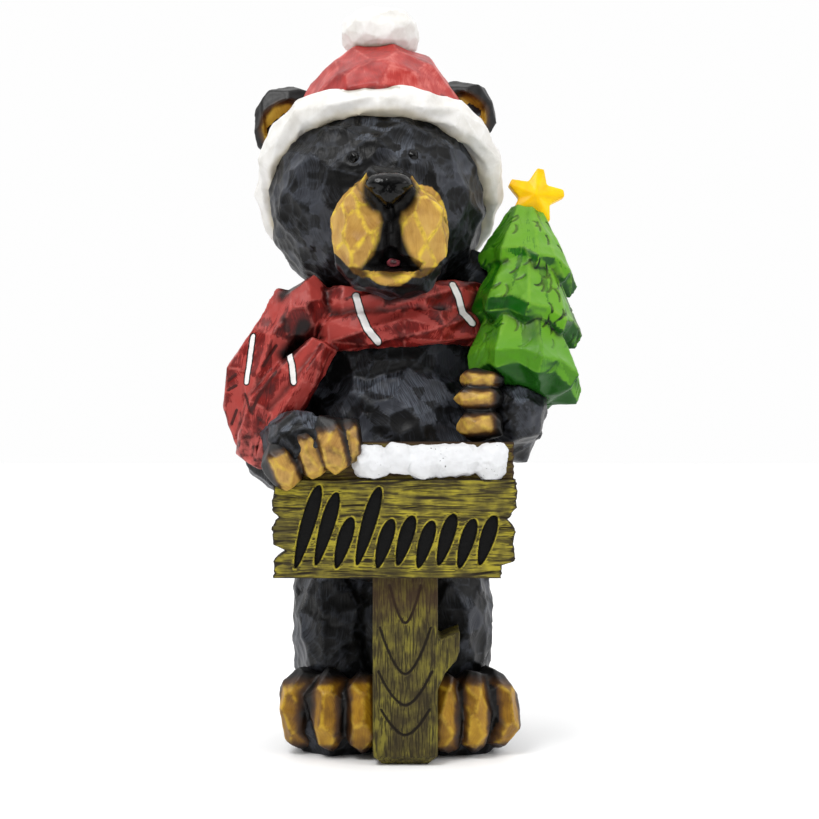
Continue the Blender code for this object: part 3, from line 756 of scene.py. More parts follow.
def sawn_ends(z):
    """The upper plank's ends."""
    splinter = splinters(z, 1.2, 2.3, 9)
    return (splinter - SAWN_LEFT * SIGN_WIDTH + SAWN_INSET,
            splinter + SAWN_RIGHT * SIGN_WIDTH - SAWN_INSET)


board = plank("board", 0, SIGN_HEIGHT, broken_ends, 0, True)
top_plank = plank("top_plank", SIGN_HEIGHT - 2, SIGN_HEIGHT + TOP_PLANK_HEIGHT, sawn_ends,
                  TOP_PLANK_SETBACK, False)

# %% [markdown]
# ## The post
# The post is a block with its foot chamfered by a bevel, and the stub of a branch on its left side.
# The stub's outline is drawn in the front view and goes through most of the post's thickness. The
# two are melted into one, so that the grain can run over both.

# %% Post
POST_X, POST_WIDTH, POST_THICKNESS, POST_CHAMFER = 5, 46, 54, 7
POST_FRONT, POST_TOP = SIGN_Y + SIGN_THICKNESS / 3, SIGN_Z + SIGN_HEIGHT / 2
bpy.ops.mesh.primitive_cube_add(size=1)
post = bpy.context.object
post.scale = at(POST_WIDTH, POST_THICKNESS, POST_TOP)
put(post, "post", at(POST_X, POST_FRONT + POST_THICKNESS / 2, POST_TOP / 2))
with editing(post):
    bpy.ops.mesh.select_all(action="DESELECT")
    mesh = bmesh.from_edit_mesh(post.data)
    for edge in mesh.edges:
        if all(v.co.z < MM for v in edge.verts):
            edge.select = True
    mesh.select_flush(True)
    bpy.ops.mesh.bevel(offset=POST_CHAMFER * MM, segments=1)
BRANCH_OUTLINE = ((-4, 46), (-1, 51), (2, 58), (5.5, 66), (13, 74), (15.5, 81), (15.5, 95),
                  (-4, 87))
branch = roll_up("branch", [
    [at(POST_X + POST_WIDTH / 2 + x, POST_FRONT + y, z) for x, z in BRANCH_OUTLINE]
    for y in (1, 0.8 * POST_THICKNESS)
])
post = melt("post", [post, branch], 1.2, rounds=1)

# %% [markdown]
# ## Where the cuts meet
# A painter picks out the ridges between cuts with a dry brush, and lets thin black paint run into
# the creases. The solid's edges say where both are. Each point of the fine skin gets its distance
# to the nearest ridge and crease, the flat cut that it lies on, and the way that cut was brushed.

# %% Ridges, creases and cuts
RIDGE_ANGLE, CREASE_ANGLE, EDGE_STEP = math.radians(7), math.radians(24), 0.8 * MM
SHARP_CREASE, SHALLOW_LIFT = math.radians(75), 7.0
SAME_PLACE, SAME_PLANE = 2e-5, math.radians(1)


def read_cuts(node):
    """The solid's ridges and creases as trees of points, and its flat cuts."""
    mesh = bmesh.new()
    mesh.from_mesh(node.data)
    bmesh.ops.remove_doubles(mesh, verts=mesh.verts[:], dist=SAME_PLACE)
    bmesh.ops.dissolve_limit(mesh, angle_limit=SAME_PLANE, verts=mesh.verts[:],
                             edges=mesh.edges[:])
    found, lifts = {"ridge": [], "crease": []}, []
    for edge in mesh.edges:
        if len(edge.link_faces) != 2:
            continue
        angle = edge.calc_face_angle_signed(0)
        if -CREASE_ANGLE < angle < RIDGE_ANGLE:
            continue
        a, b = (v.co for v in edge.verts)
        steps = max(1, int((b - a).length / EDGE_STEP))
        found["ridge" if angle > 0 else "crease"] += [a.lerp(b, i / steps) for i in range(steps + 1)]
        if angle < 0:
            shallow = max(0, (SHARP_CREASE + angle) / (SHARP_CREASE - CREASE_ANGLE))
            lifts += [SHALLOW_LIFT * shallow] * (steps + 1)
    trees = {}
    for kind, places in found.items():
        trees[kind] = kdtree.KDTree(len(places))
        for i, place in enumerate(places):
            trees[kind].insert(place, i)
        trees[kind].balance()
        print(kind, "points", len(places))
    print("flat cuts", len(mesh.faces))
    mesh.faces.ensure_lookup_table()
    facings = np.array([face.normal for face in mesh.faces])
    middles = np.array([face.calc_center_median() for face in mesh.faces])
    return trees, np.array(lifts), BVHTree.FromBMesh(mesh), facings, middles


edge_trees, crease_lifts, cut_tree, cut_facings, cut_middles = read_cuts(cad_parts["bear"])

# %% [markdown]
# ## A skin to carve
# A skin holds a piece's points as one array, so that a tool mark on all of them is one sum. Every
# mark moves points in or out along the surface. Paint strokes follow the cut that a point lies on:
# comb gives its place across and along that cut, turned aside a little from cut to cut.

# %% A skin to carve
COMB_LEAN, COMB_BEND, STROKES_APART = 0.6, 1 / 22, (37, 90)
SCOOP_REACH, FARTHEST = 7.0, 30


class Skin:
    """A piece's points in millimetres, with what the cuts say of each."""

    def __init__(self, piece):
        self.piece = piece
        count = len(piece.data.vertices)
        self.points, self.out = np.empty((count, 3), np.float32), np.empty((count, 3), np.float32)
        piece.data.vertices.foreach_get("co", self.points.ravel())
        piece.data.vertex_normals.foreach_get("vector", self.out.ravel())
        places = [Vector(p) for p in self.points]
        self.ridge = np.array([edge_trees["ridge"].find(p)[2] for p in places]) / MM
        nearest = [edge_trees["crease"].find(p) for p in places]
        self.crease = np.array([away for _, _, away in nearest]) / MM
        self.crease += crease_lifts[[index for _, index, _ in nearest]]
        cut = np.array([cut_tree.find_nearest(p)[2] for p in places])
        self.points = self.points.astype(float) / MM
        self.chance = lattice(cut, cut * 7, cut * 3, 11)
        self.comb = self.comb_points(cut)
        self.mark = np.zeros(count)

    def comb_points(self, cut):
        """Each point's place across and along the brush strokes of its cut, in millimetres."""
        facing, middle = cut_facings[cut], cut_middles[cut] / MM
        across = np.cross((0.0, 0.0, 1.0), facing)
        across[:, 0] += 1e-6
        across /= np.linalg.norm(across, axis=1)[:, None]
        up = np.cross(facing, across)
        offset = self.points - middle
        a, b = (offset * across).sum(1), (offset * up).sum(1)
        swing = COMB_LEAN * (2 * lattice(cut, cut * 5, cut, 12) - 1)
        x, y = a * np.cos(swing) - b * np.sin(swing), a * np.sin(swing) + b * np.cos(swing)
        bend = (lattice(cut, cut * 3, cut * 11, 13) - 0.5) * COMB_BEND
        apart_x, apart_z = STROKES_APART
        return np.c_[x + bend * y**2 + apart_x * self.chance, y, apart_z * self.chance]

    def push(self, height):
        """Moves the points out along the surface by a height in millimetres."""
        self.points = self.points + self.out * np.asarray(height)[:, None]
        return self

    def scoop(self, depth):
        """Hollows each cut a little between its ridges, as a gouge does."""
        return self.push(-depth * smooth_step(self.ridge, 0.3, SCOOP_REACH))

    def score(self, away, width=0.9, depth=0.7):
        """Cuts a groove where away is small, and marks it for its dark paint."""
        self.mark = np.maximum(self.mark, 3 - away)
        return self.push(-depth * np.exp(-((away / width) ** 2)))

    def rough(self, height, size, seed=0):
        """Uneven by up to this height, in bumps of this size."""
        return self.push(height * (noise(self.points, size, seed) - 0.5))

    def dimples(self, depth, size, seed, ridges=False):
        """Overlapping gouge marks of about this size, which meet in low ridges."""
        rng = np.random.default_rng(seed)
        area = sum(face.area for face in self.piece.data.polygons) / MM**2
        count = int(1.6 * area / size**2)
        tree = kdtree.KDTree(count)
        for i, place in enumerate(self.points[rng.choice(len(self.points), count, replace=False)]):
            tree.insert(place, i)
        tree.balance()
        found = [tree.find_n(p, 2) for p in self.points]
        away, second = (np.array([pair[i][2] for pair in found]) for i in (0, 1))
        if ridges:
            mark = np.array([pair[0][1] for pair in found])
            self.chance = 0.5 * (self.chance + lattice(mark, mark * 5, mark * 3, seed))
            self.ridge = np.minimum(self.ridge, (second - away) / 2 + 0.5)
        return self.push(depth * (np.minimum(2 * away / size, 1.5) ** 2 - 0.5))

    def save(self):
        """Writes the points back, and stores what the paint reads."""
        mesh = self.piece.data
        self.points[:, 2] = np.maximum(self.points[:, 2], 0)
        mesh.vertices.foreach_set("co", (self.points * MM).astype(np.float32).ravel())
        mesh.update()
        for name in ("ridge", "crease", "chance", "mark"):
            keep(self.piece, name, np.minimum(getattr(self, name), FARTHEST))
        keep(self.piece, "comb", self.comb, "FLOAT_VECTOR")
        pick(self.piece)
        bpy.ops.object.shade_smooth()
        return self.piece


# %% [markdown]
# ## Tool marks
# The flat cuts are a little hollow, and smaller gouge marks overlap on them. Fur also has short
# curved nicks, and the tree has straight ones for its needles. The marks are cut into the skin
# itself, so that the bare form has them too, and their places come from seeded chance.

# %% Marking the fur
MUZZLE_START = -72


def nick(skin, count, seed, size=6.0, tilt=0.0, sway=0.5, straight=False, width=1.1, depth=0.8,
         low=0, high=999, front=-999):
    """Cuts short marks into the skin: arcs that are open at the top, or straight strokes."""
    rng = np.random.default_rng(seed)
    _, y, z = skin.points.T
    inside = np.flatnonzero((z > low) & (z < high) & (y > front))
    nearest = np.full(len(skin.points), -FAR_OUT)
    for i in rng.choice(inside, count, replace=False):
        middle, facing = skin.points[i], skin.out[i]
        across = np.cross((0, 0, 1.0), facing)
        across /= np.linalg.norm(across) + 1e-9
        up = np.cross(facing, across)
        near = np.flatnonzero(np.abs(skin.points - middle).max(1) < 2 * size)
        offset = skin.points[near] - middle
        angle, reach = tilt + rng.uniform(-sway, sway), size * rng.uniform(0.6, 1.1)
        a, b = offset @ across, offset @ up
        a, b = a * math.cos(angle) - b * math.sin(angle), a * math.sin(angle) + b * math.cos(angle)
        if straight:
            away = np.hypot(a + 0.06 * b**2, np.maximum(0, np.abs(b) - reach))
        else:
            away = np.abs(np.hypot(a, b) - reach) + 6 * np.maximum(0, b + 0.3 * reach) / reach
        nearest[near] = np.minimum(nearest[near], away + np.abs(offset @ facing) / 6)
    return skin.score(nearest, width, depth)


skins = {}
for piece, hollow, mark, mark_size in (
    (body, 0.4, 0.9, 15), (arms, 0.4, 0.6, 12), (feet, 0.4, 0.5, 11), (head, 0.4, 0.9, 13),
    (ears, 0.3, 0.2, 9), (fingers, 0.2, 0.15, 8), (toes, 0.3, 0.3, 10), (crown, 0.4, 0.6, 17),
    (brim, 0.0, 0.9, 16), (bobble, 0.0, 0.7, 12), (scarf, 0.3, 0.5, 12), (tree, 0.3, 0.4, 13),
    (nose, 0.0, 0.0, 6), (star, 0.0, 0.0, 9), (snow, 0.0, 0.5, 9), (tongue, 0.0, 0.0, 4),
    (eyes, 0.0, 0.0, 4),
):
    skin = Skin(piece)
    skins[piece.name] = skin
    if hollow:
        skin.scoop(hollow)
    if mark:
        cut_ridges, furry = skin.ridge, piece in (body, arms, feet, head)
        skin.dimples(mark, mark_size, 200 + len(skins), ridges=furry)
        if piece is head:
            skin.ridge = np.where(skin.points[:, 1] < MUZZLE_START, cut_ridges, skin.ridge)
    print(piece.name, len(skin.points), "points")
nick(skins["body"], 90, 301, low=20, high=150, depth=1.3)
nick(skins["body"], 60, 302, size=8, low=150)
nick(skins["arms"], 20, 303)
nick(skins["tree"], 190, 304, size=5, tilt=0.6, sway=0.7, straight=True, width=0.8, depth=0.9)
nick(skins["head"], 40, 305, size=4, straight=True, sway=1.2, depth=0.5, low=330, high=425,
     front=-62)
skins["snow"].rough(4.2, 13, 1).rough(1.0, 2.4, 2)
skins["nose"].rough(0.35, 1.7, 3)
skins["star"].rough(0.8, 9, 4)

# %% [markdown]
# ## Where each colour goes
# Paint doesn't end at a cut, so its borders are stored as distances in millimetres, below zero
# inside. The paint then draws a sharp line at zero, however coarse the skin is. Their places are
# read off the front view in pixels, and the camera's place and lens turn those to millimetres.

# %% From a pixel to a place
PHOTO_SIZE, FOCAL_PIXELS = 819, 1554.4
PHOTO_MIDDLE, CAMERA_X, CAMERA_Z, CAMERA_BACK = PHOTO_SIZE / 2, 8.0, 251.6, 1200.0


def seen(px, py, y):
    """The place in X and Z, in millimetres, that a pixel shows at a depth y."""
    scale = (CAMERA_BACK + y) / FOCAL_PIXELS
    return CAMERA_X + (px - PHOTO_MIDDLE) * scale, CAMERA_Z + (PHOTO_MIDDLE - py) * scale


def egg(points, middle, radii, lean=0.0):
    """The distance out from an egg's border in the front view."""
    x, z = points[:, 0] - middle[0], points[:, 2] - middle[1]
    x, z = x * math.cos(lean) - z * math.sin(lean), x * math.sin(lean) + z * math.cos(lean)
    far = np.hypot(x / radii[0], z / radii[1])
    return (far - 1) * min(radii)


# %% [markdown]
# ## Gold and black on the muzzle
# Two leaning eggs of gold cover the lips, and a small one covers the chin. The gold also goes
# round the lips' side walls, so that it shows from the side. Black runs from round the nose down
# the furrow and widens to the corners of the mouth.

# %% Gold and black on the muzzle
MUZZLE_Y, FACE_BACK = -108, -40
LIP_PIXELS, LIP_RADII, LIP_LEAN = ((364, 228), (420, 228)), (20.5, 35), 0.10
CHIN_PIXEL, CHIN_RADII = (391, 274), (15, 8.5)
CHIN_SHADE_PIXEL, CHIN_SHADE_RADII = (391, 268), (14, 10)
NOSE_PIXEL, NOSE_SOOT_RADII = (390, 190), (17.5, 16)
FURROW_COLUMN, FURROW_ROWS, FURROW_HALVES = 391, (268, 255, 240, 222, 200), (19.5, 11.5, 7, 5, 8)
MOUTH_ROW, NOSE_LEDGE = 271, (-6.4, -100, 418)
head_skin = skins["head"]
face = head_skin.points
gold = np.minimum(*[
    egg(face, seen(*pixel, MUZZLE_Y), LIP_RADII, lean)
    for pixel, lean in zip(LIP_PIXELS, (-LIP_LEAN, LIP_LEAN))
])
gold = np.minimum(gold, egg(face, seen(*CHIN_PIXEL, MUZZLE_Y), CHIN_RADII))
gold = np.where(face[:, 1] < FACE_BACK, gold, 20)
furrow_x = seen(FURROW_COLUMN, 0, MUZZLE_Y)[0]
furrow_heights = [seen(0, row, MUZZLE_Y)[1] for row in FURROW_ROWS]
furrow_half = np.interp(face[:, 2], furrow_heights, FURROW_HALVES)
mouth_low = seen(0, MOUTH_ROW, MUZZLE_Y)[1]
soot = np.where(face[:, 2] > mouth_low, np.abs(face[:, 0] - furrow_x) - furrow_half, 9)
soot = np.minimum(soot, egg(face, seen(*NOSE_PIXEL, MUZZLE_Y), NOSE_SOOT_RADII))
from_ledge = np.linalg.norm(face - NOSE_LEDGE, axis=1)
head_skin.chance = head_skin.chance * smooth_step(from_ledge, 12, 26)
sides = smooth_step(np.abs(head_skin.out[:, 0]), 0.5, 0.75)
sides *= smooth_step(face[:, 2], mouth_low + 5, mouth_low + 17)
gold = gold - 4.5 * sides * smooth_step(face[:, 1], MUZZLE_START, MUZZLE_START - 8)
keep(head, "gold", gold)
chin = np.abs(egg(face, seen(*CHIN_SHADE_PIXEL, MUZZLE_Y), CHIN_SHADE_RADII))
keep(head, "chin", chin * smooth_step(face[:, 2], mouth_low + 5, mouth_low - 1))
head_skin.mark = head_skin.mark * smooth_step(gold, 0, 2)
keep(head, "soot", soot)
print("points in gold", int((gold < 0).sum()), "and in black on it", int((soot < 0).sum()))

# %% [markdown]
# ## The furrow and the eyelids
# The furrow between the lips is pressed in along the black, and a low ring is raised round each
# eye. Both are smooth bells across a line, so they blend with the cuts about them.

# %% The furrow and the eyelids
FURROW_DEPTH, FURROW_WIDTH, FURROW_TOP = 6.0, 4.2, 412
EYELID_RADIUS, EYELID_WIDTH, EYELID_HEIGHT = 5.8, 1.4, 0.5
furrow = np.exp(-(((face[:, 0] - furrow_x) / FURROW_WIDTH) ** 2))
furrow *= smooth_step(face[:, 2], mouth_low + 4, mouth_low + 12) * (face[:, 1] < -70)
furrow *= smooth_step(face[:, 2], FURROW_TOP, FURROW_TOP - 10)
head_skin.push(-FURROW_DEPTH * furrow)
for x, y, z in EYE_PLACES.values():
    away = np.hypot(*(face[:, [0, 2]] - (x, z)).T)
    lid = np.exp(-(((away - EYELID_RADIUS) / EYELID_WIDTH) ** 2)) * (face[:, 1] < FACE_BACK)
    head_skin.push(EYELID_HEIGHT * lid)
print("furrow", round(FURROW_DEPTH * float(furrow.max()), 1), "mm deep")

# %% [markdown]
# ## Gold on toes, fingers and ears
# Gold runs down the middle of each toe and finger, and fades to black at its sides and root. The
# distance from each one's middle line says how far the gold has faded.

# %% Gold on toes, fingers and ears
EAR_GOLD = (((-86, 467), (21, 22)), ((50, 475), (19, 20)))


def soot_on_toes(points):
    """The distance out from the gold down the middle of each toe, below zero inside."""
    best, soot = np.full(len(points), 1e9), np.zeros(len(points))
    for places in toe_places.values():
        for x, y, yaw in places:
            offset = points[:, :2] - (x, y)
            turn = math.radians(-yaw)
            aside = np.abs(offset[:, 0] * math.cos(turn) + offset[:, 1] * math.sin(turn))
            away = np.hypot(*offset.T)
            soot = np.where(away < best, aside - 7.5, soot)
            best = np.minimum(best, away)
    top = points[:, 2] - 49 + 0.25 * (points[:, 1] + 60)
    return np.maximum(soot, np.maximum(0.6 * top, 0.7 * (9 - points[:, 2])))


def soot_on_fingers(points):
    """The distance out from the gold along each finger, below zero inside."""
    best, soot = np.full(len(points), 1e9), np.zeros(len(points))
    for place, radii, lean in right_fingers + left_fingers:
        offset, angle = points - place, math.radians(lean)
        x = offset[:, 0] * math.cos(angle) - offset[:, 2] * math.sin(angle)
        z = offset[:, 0] * math.sin(angle) + offset[:, 2] * math.cos(angle)
        far = np.hypot(np.hypot(x / radii[0], offset[:, 1] / radii[1]), z / radii[2])
        if place[0] < 20:
            aside, behind = np.abs(x) - 0.5 * radii[0], z - 0.4 * radii[2]
        else:
            aside, behind = np.abs(z) - 0.4 * radii[2], x - 0.35 * radii[0]
        outside = np.hypot(np.maximum(aside, 0), 0.6 * np.maximum(behind, 0))
        soot = np.where(far < best, outside, soot)
        best = np.minimum(best, far)
    return soot


keep(toes, "soot", soot_on_toes(skins["toes"].points))
keep(fingers, "soot", soot_on_fingers(skins["fingers"].points))
ear_points = skins["ears"].points
ear_gold = np.minimum(*[egg(ear_points, middle, radii) for middle, radii in EAR_GOLD])
keep(ears, "soot", np.where(ear_points[:, 1] < 0, ear_gold + 3, 20))
print("points in gold on the ears", int((ear_gold < 0).sum()))

# %% [markdown]
# ## The inner edge of the brim
# Beige painted shade lies where the brim meets the face. How far a point lies inwards is measured
# in the brim's own tilted plane.

# %% Inner edge of the brim
from_hat = (skins["brim"].points - HAT_CENTRE) @ np.array(turned(x=-HAT_LEAN).to_matrix())
inner_edge = 1 - np.hypot(from_hat[:, 0] / BRIM_AXES[0], from_hat[:, 1] / BRIM_AXES[1])
keep(brim, "inward", 80 * inner_edge - 0.8 * from_hat[:, 2])
print("brim", round(float(inner_edge.min()), 2), "to", round(float(inner_edge.max()), 2))

# %% [markdown]
# ## Stripes on the scarf
# The white stripes are painted by hand over the folds. Each is a line through a few pixels of the
# front view, and the scarf's points get their distance from the nearest one. Lines drawn the same
# way paint shadow into the hollows between the folds and the ends, through the crease wash.

# %% Stripes on the scarf
STRIPES = (
    (((356, 296), (361, 314), (368, 330), (378, 342)), -66, 2.3),
    (((453, 284), (459, 297), (463, 312), (473, 323)), -62, 2.1),
    (((253, 336), (250, 361), (247.5, 382.5)), -55, 1.5),
    (((289, 355), (292, 364), (294, 382.5)), -80, 1.8),
)
# painted shadow: lines along the hollows between the folds and the ends
PAINTED_SHADOW_LINES = ((((305, 326), (298, 341), (287, 354)), -60, 3.0), (((282, 296), (292, 285)), -50, 1.0))
STRIPE_REACH = 30


def stripe(points, pixels, y, half):
    """The distance out from a painted line through pixels of the front view."""
    line = np.array([seen(px, py, y) for px, py in pixels])
    away = np.full(len(points), -FAR_OUT)
    flat = points[:, [0, 2]]
    for a, b in zip(line, line[1:]):
        along = b - a
        share = np.clip(((flat - a) @ along) / (along @ along), 0, 1)
        away = np.minimum(away, np.linalg.norm(flat - a - share[:, None] * along, axis=1))
    return np.where(points[:, 1] < y + STRIPE_REACH, away - half, FARTHEST)


cloth = skins["scarf"].points
stripes = np.minimum.reduce([stripe(cloth, *line) for line in STRIPES])
keep(scarf, "stripe", stripes)
# painted shadow: the hollows are darkened through the scarf's crease wash
for line in PAINTED_SHADOW_LINES:
    hollow = np.maximum(stripe(cloth, *line), 0)
    skins["scarf"].crease = np.minimum(skins["scarf"].crease, hollow)
print(len(STRIPES), "stripes over", int((stripes < 0).sum()), "points")

# %% [markdown]
# ## Cuts in the scarf's ends and at the wrists
# Short straight cuts part the scarf's fringe, and a jagged one on each wrist shows where the fur
# ends. They are deep and thin, and dark paint lies in them.

# %% Cuts in the scarf's ends and at the wrists
CLOTH_CUTS = (
    ((243, 394), (248, 404), (253, 414)), ((259, 418), (266, 424)),
    ((254, 409), (259, 398), (266, 387), (277, 372)), ((225, 390), (234, 385)),
    ((226, 380), (234, 374)), ((228, 425), (234, 410)), ((233, 436), (238, 422)),
    ((243, 454), (246, 436)), ((247, 455), (250, 431)), ((251, 456), (256, 434)),
    ((257, 447), (262, 430)), ((238, 445), (241, 430)), ((263, 366), (276, 345)),
)
WRIST_CUTS = (
    ((280, 443), (283, 437), (293, 432), (294, 425), (309, 422), (311, 419), (324, 419)),
    ((499, 382), (512, 399)), ((500, 406), (510, 418), (498, 430), (497, 443)),
)
for name, lines, y in (("scarf", CLOTH_CUTS, -70), ("arms", WRIST_CUTS, -90)):
    cut_lines = np.minimum.reduce([stripe(skins[name].points, line, y, 0) for line in lines])
    skins[name].score(cut_lines, 1.0, 1.0)
    print(name, len(lines), "cuts")

# %% [markdown]
# ## Grain and curved cuts on the post
# The post's grain runs upright, and four U-shaped cuts lie over one another on its front. Each cut
# is a row of points along a curve, and the grain bends aside where a cut is near.

# %% Grain and curved cuts on the post
CURVED_CUTS = ((101, 27, 11), (65, 33, 18), (43, 24, 19), (22, 18, 17))
CURVE_POWER, CURVE_STEPS, POST_GRAIN_DEPTH = 1.7, 181, 0.7
wood = Skin(post)
turns = np.linspace(-1, 1, CURVE_STEPS)
curve_points = np.concatenate([
    np.c_[POST_X + half * turns, low + reach * np.abs(turns) ** CURVE_POWER]
    for low, reach, half in CURVED_CUTS
])
front_view = wood.points[:, [0, 2]]
nearest = np.full(len(front_view), -FAR_OUT)
for place in curve_points:
    nearest = np.minimum(nearest, np.hypot(*(front_view - place).T))
faces_front = smooth_step(-wood.out[:, 1], 0.3, 0.8)
side_place = wood.points[:, 0] + wood.points[:, 1]
sway = np.minimum(nearest, 6) * 0.5
post_grain = wood_grain(wood.points[:, 2] * 0.8, side_place + sway, 2.0)
wood.push(-POST_GRAIN_DEPTH * post_grain)
wood.score(nearest + 9 * (1 - faces_front), 1.0, 1.6)
keep(post, "depth", post_grain)
wood.save()
for skin in skins.values():
    skin.save()
print("skins saved", len(skins) + 1)

# %% [markdown]
# ## Paint
# Every part is sprayed in its own colour, washed with thin black that stays in the creases, and
# brushed dry along its ridges. A material is built from nodes in the same order. This class holds
# one material and adds its nodes, so that each finish below reads as a short recipe.

# %% A material in layers


def colour(red, green, blue):
    """A colour given from 0 to 255 as it looks on a screen."""
    shares = [v / 255 for v in (red, green, blue)]
    return (*[v / 12.92 if v < 0.04 else ((v + 0.055) / 1.055) ** 2.4 for v in shares], 1)


class Paint:
    """A material that is built up layer by layer."""

    def __init__(self, name, **plain):
        self.material = bpy.data.materials.new(name)
        self.material.use_nodes = True
        self.tree = self.material.node_tree
        self.shader = self.tree.nodes["Principled BSDF"]
        self.place = self.node("TexCoord", out="Object")
        for socket, value in plain.items():
            self.shader.inputs[socket.replace("_", " ")].default_value = value

    def node(self, kind, inputs=None, out=0, **settings):
        node = self.tree.nodes.new("ShaderNode" + kind)
        for key, value in settings.items():
            setattr(node, key, value)
        for key, value in (inputs or {}).items():
            if isinstance(value, bpy.types.NodeSocket):
                self.tree.links.new(value, node.inputs[key])
            else:
                node.inputs[key].default_value = value
        return node.outputs[out]

    def value(self, name):
        return self.node("Attribute", out="Fac", attribute_name=name)

    def comb(self):
        return self.node("Attribute", out="Vector", attribute_name="comb")

    def noise(self, size, detail=2.0, at=None, stretch=(1, 1, 1)):
        """Noise whose bumps are of this size in metres, or in the unit of at."""
        scaled = self.node("Mapping", {"Vector": at or self.place,
                                       "Scale": [1 / (size * v) for v in stretch]})
        return self.node("TexNoise", {"Vector": scaled, "Scale": 1.0, "Detail": detail})

    def math(self, operation, *values):
        return self.node("Math", dict(enumerate(values)), operation=operation)

    def fade(self, value, full, none):
        """1 where value is at full, down to 0 at none."""
        return self.node("MapRange", {"Value": value, "From Min": full, "From Max": none,
                                      "To Min": 1.0, "To Max": 0.0},
                         interpolation_type="SMOOTHSTEP")

    def mix(self, share, below, above):
        return self.node("Mix", {0: share, 6: below, 7: above}, out=2, data_type="RGBA")

    def ramp(self, value, *stops):
        ramp = self.node("ValToRGB", {"Fac": value})
        elements = ramp.node.color_ramp.elements
        while len(elements) < len(stops):
            elements.new(0.5)
        for element, (place, shade) in zip(elements, stops):
            element.position, element.color = place, shade
        return ramp

    def link(self, socket, value):
        self.tree.links.new(value, self.shader.inputs[socket])

    def bump(self, *layers):
        """Bumps one over another. Each is a height from 0 to 1 and its depth in millimetres."""
        below = {}
        for height, depth in layers:
            below["Normal"] = self.node("Bump", {"Height": height, "Distance": depth * MM,
                                                 "Strength": 1.0, **below})
        self.link("Normal", below["Normal"])


# %% [markdown]
# ## One coat
# The tone of a coat changes from cut to cut, in soft clouds, and in fine hairs along the brush.
# Ridges catch the dry brush and creases hold the wash, and both use the distances that each point
# carries. The bump follows the same hairs, with fine grit over it.

# %% One coat
SOOT = colour(10, 9, 9)
CLOUD_SIZE, DRY_SIZE, RUN_SIZE, GRIT_SIZE = 0.012, 0.006, 0.009, 0.0015
MARK_EDGE, GRIT_DEPTH = (2.4, 1.4), 0.05


def coat(paint, deep, base, light, edge, wash, edge_share=0.6, wash_reach=4.0, brush=0.5,
         patchy=0.16, edge_reach=1.8, cloud=0.9):
    """One colour as the painter leaves it: uneven, dry-brushed on ridges, washed in creases."""
    patch = paint.math("MULTIPLY_ADD", paint.value("chance"), patchy,
                       paint.math("MULTIPLY", paint.noise(CLOUD_SIZE, 5), cloud))
    hairs = paint.noise(1.0, 3, paint.comb(), (0.9, 9, 1))
    tone = paint.math("MULTIPLY_ADD", hairs, brush, patch)
    low = 0.5 * (brush + patchy + cloud)
    shade = paint.ramp(tone, (low - 0.28, deep), (low, base), (low + 0.3, light))
    dry = paint.fade(paint.noise(DRY_SIZE, 3), 0.62, 0.32)
    dry = paint.math("MULTIPLY", dry, paint.fade(paint.value("ridge"), 0.1, edge_reach))
    shade = paint.mix(paint.math("MULTIPLY", dry, edge_share), shade, edge)
    run = paint.math("MULTIPLY_ADD", paint.noise(RUN_SIZE, 4), 5.0, paint.value("crease"))
    shade = paint.mix(paint.fade(run, 1.4, 1.8 + wash_reach), shade, wash)
    return paint.mix(paint.fade(paint.value("mark"), *MARK_EDGE), shade, wash)


def carved_bump(paint, brush=0.25):
    """Brush hairs in some places, and fine grit all over. Depths in millimetres."""
    hairs = paint.noise(1.0, 3, paint.comb(), (1.1, 14, 1))
    some = paint.fade(paint.noise(0.02), 0.62, 0.42)
    paint.bump((paint.math("MULTIPLY", hairs, some), brush), (paint.noise(GRIT_SIZE, 2), GRIT_DEPTH))


def facing(paint, axis):
    """How far the surface faces along an axis, from -1 to 1."""
    return paint.node("SeparateXYZ", {0: paint.node("NewGeometry", out="Normal")}, out=axis)


def height(paint):
    """How high above the ground a point of the surface is, in metres."""
    return paint.node("SeparateXYZ", {0: paint.place}, out="Z")


def dress(paint, *pieces):
    """Gives the paint to these pieces, and to nothing else on them."""
    for piece in pieces:
        piece.data.materials.clear()
        piece.data.materials.append(paint.material)
    print(paint.material.name, "on", *[piece.name for piece in pieces])


# %% [markdown]
# ## Black fur
# The fur is black with blue-grey on it. A first coat changes a lot from cut to cut, and then
# blue-grey hairs are painted over those cuts that face up, as a painted highlight where light
# from above falls.

# %% Fur


def fur_coat(paint):
    """Black, with a blue-grey painted highlight along the hairs of the cuts that face up."""
    shade = coat(paint, colour(5, 5, 5), colour(15, 15, 16), colour(52, 54, 60),
                 colour(76, 80, 88), SOOT, edge_share=0.35, brush=0.45, patchy=0.8, cloud=0.3)
    hairs = paint.fade(paint.noise(1.0, 3, paint.comb(), (0.7, 12, 1)), 0.62, 0.4)
    # painted highlight: blue-grey hairs on the cuts that face up, where light from above falls
    lit_from_above = paint.fade(facing(paint, "Z"), 0.75, 0.1)
    some = paint.fade(paint.value("chance"), 0.75, 0.35)
    share = paint.math("MULTIPLY", paint.math("MULTIPLY", hairs, lit_from_above), some)
    return paint.mix(paint.math("MULTIPLY", share, 0.8), shade, colour(92, 98, 108))


FUR_GLOSS, FUR_BUMP = {"Roughness": 0.38, "Specular_IOR_Level": 0.17}, 0.5
fur = Paint("black_fur", **FUR_GLOSS)
fur.link("Base Color", fur_coat(fur))
carved_bump(fur, FUR_BUMP)
dress(fur, body, arms, feet)

# %% [markdown]
# ## The face
# One material paints the whole head, because gold and fur share its skin. Gold is a tan coat with
# yellow on its ridges, and it turns brown round the chin. Black lies over it in the furrow, and
# the border to the fur is made uneven by a little noise.

# %% Face
TAN = (colour(140, 98, 44), colour(178, 138, 68), colour(200, 164, 86), colour(222, 192, 58))
TAWNY = colour(70, 44, 16)


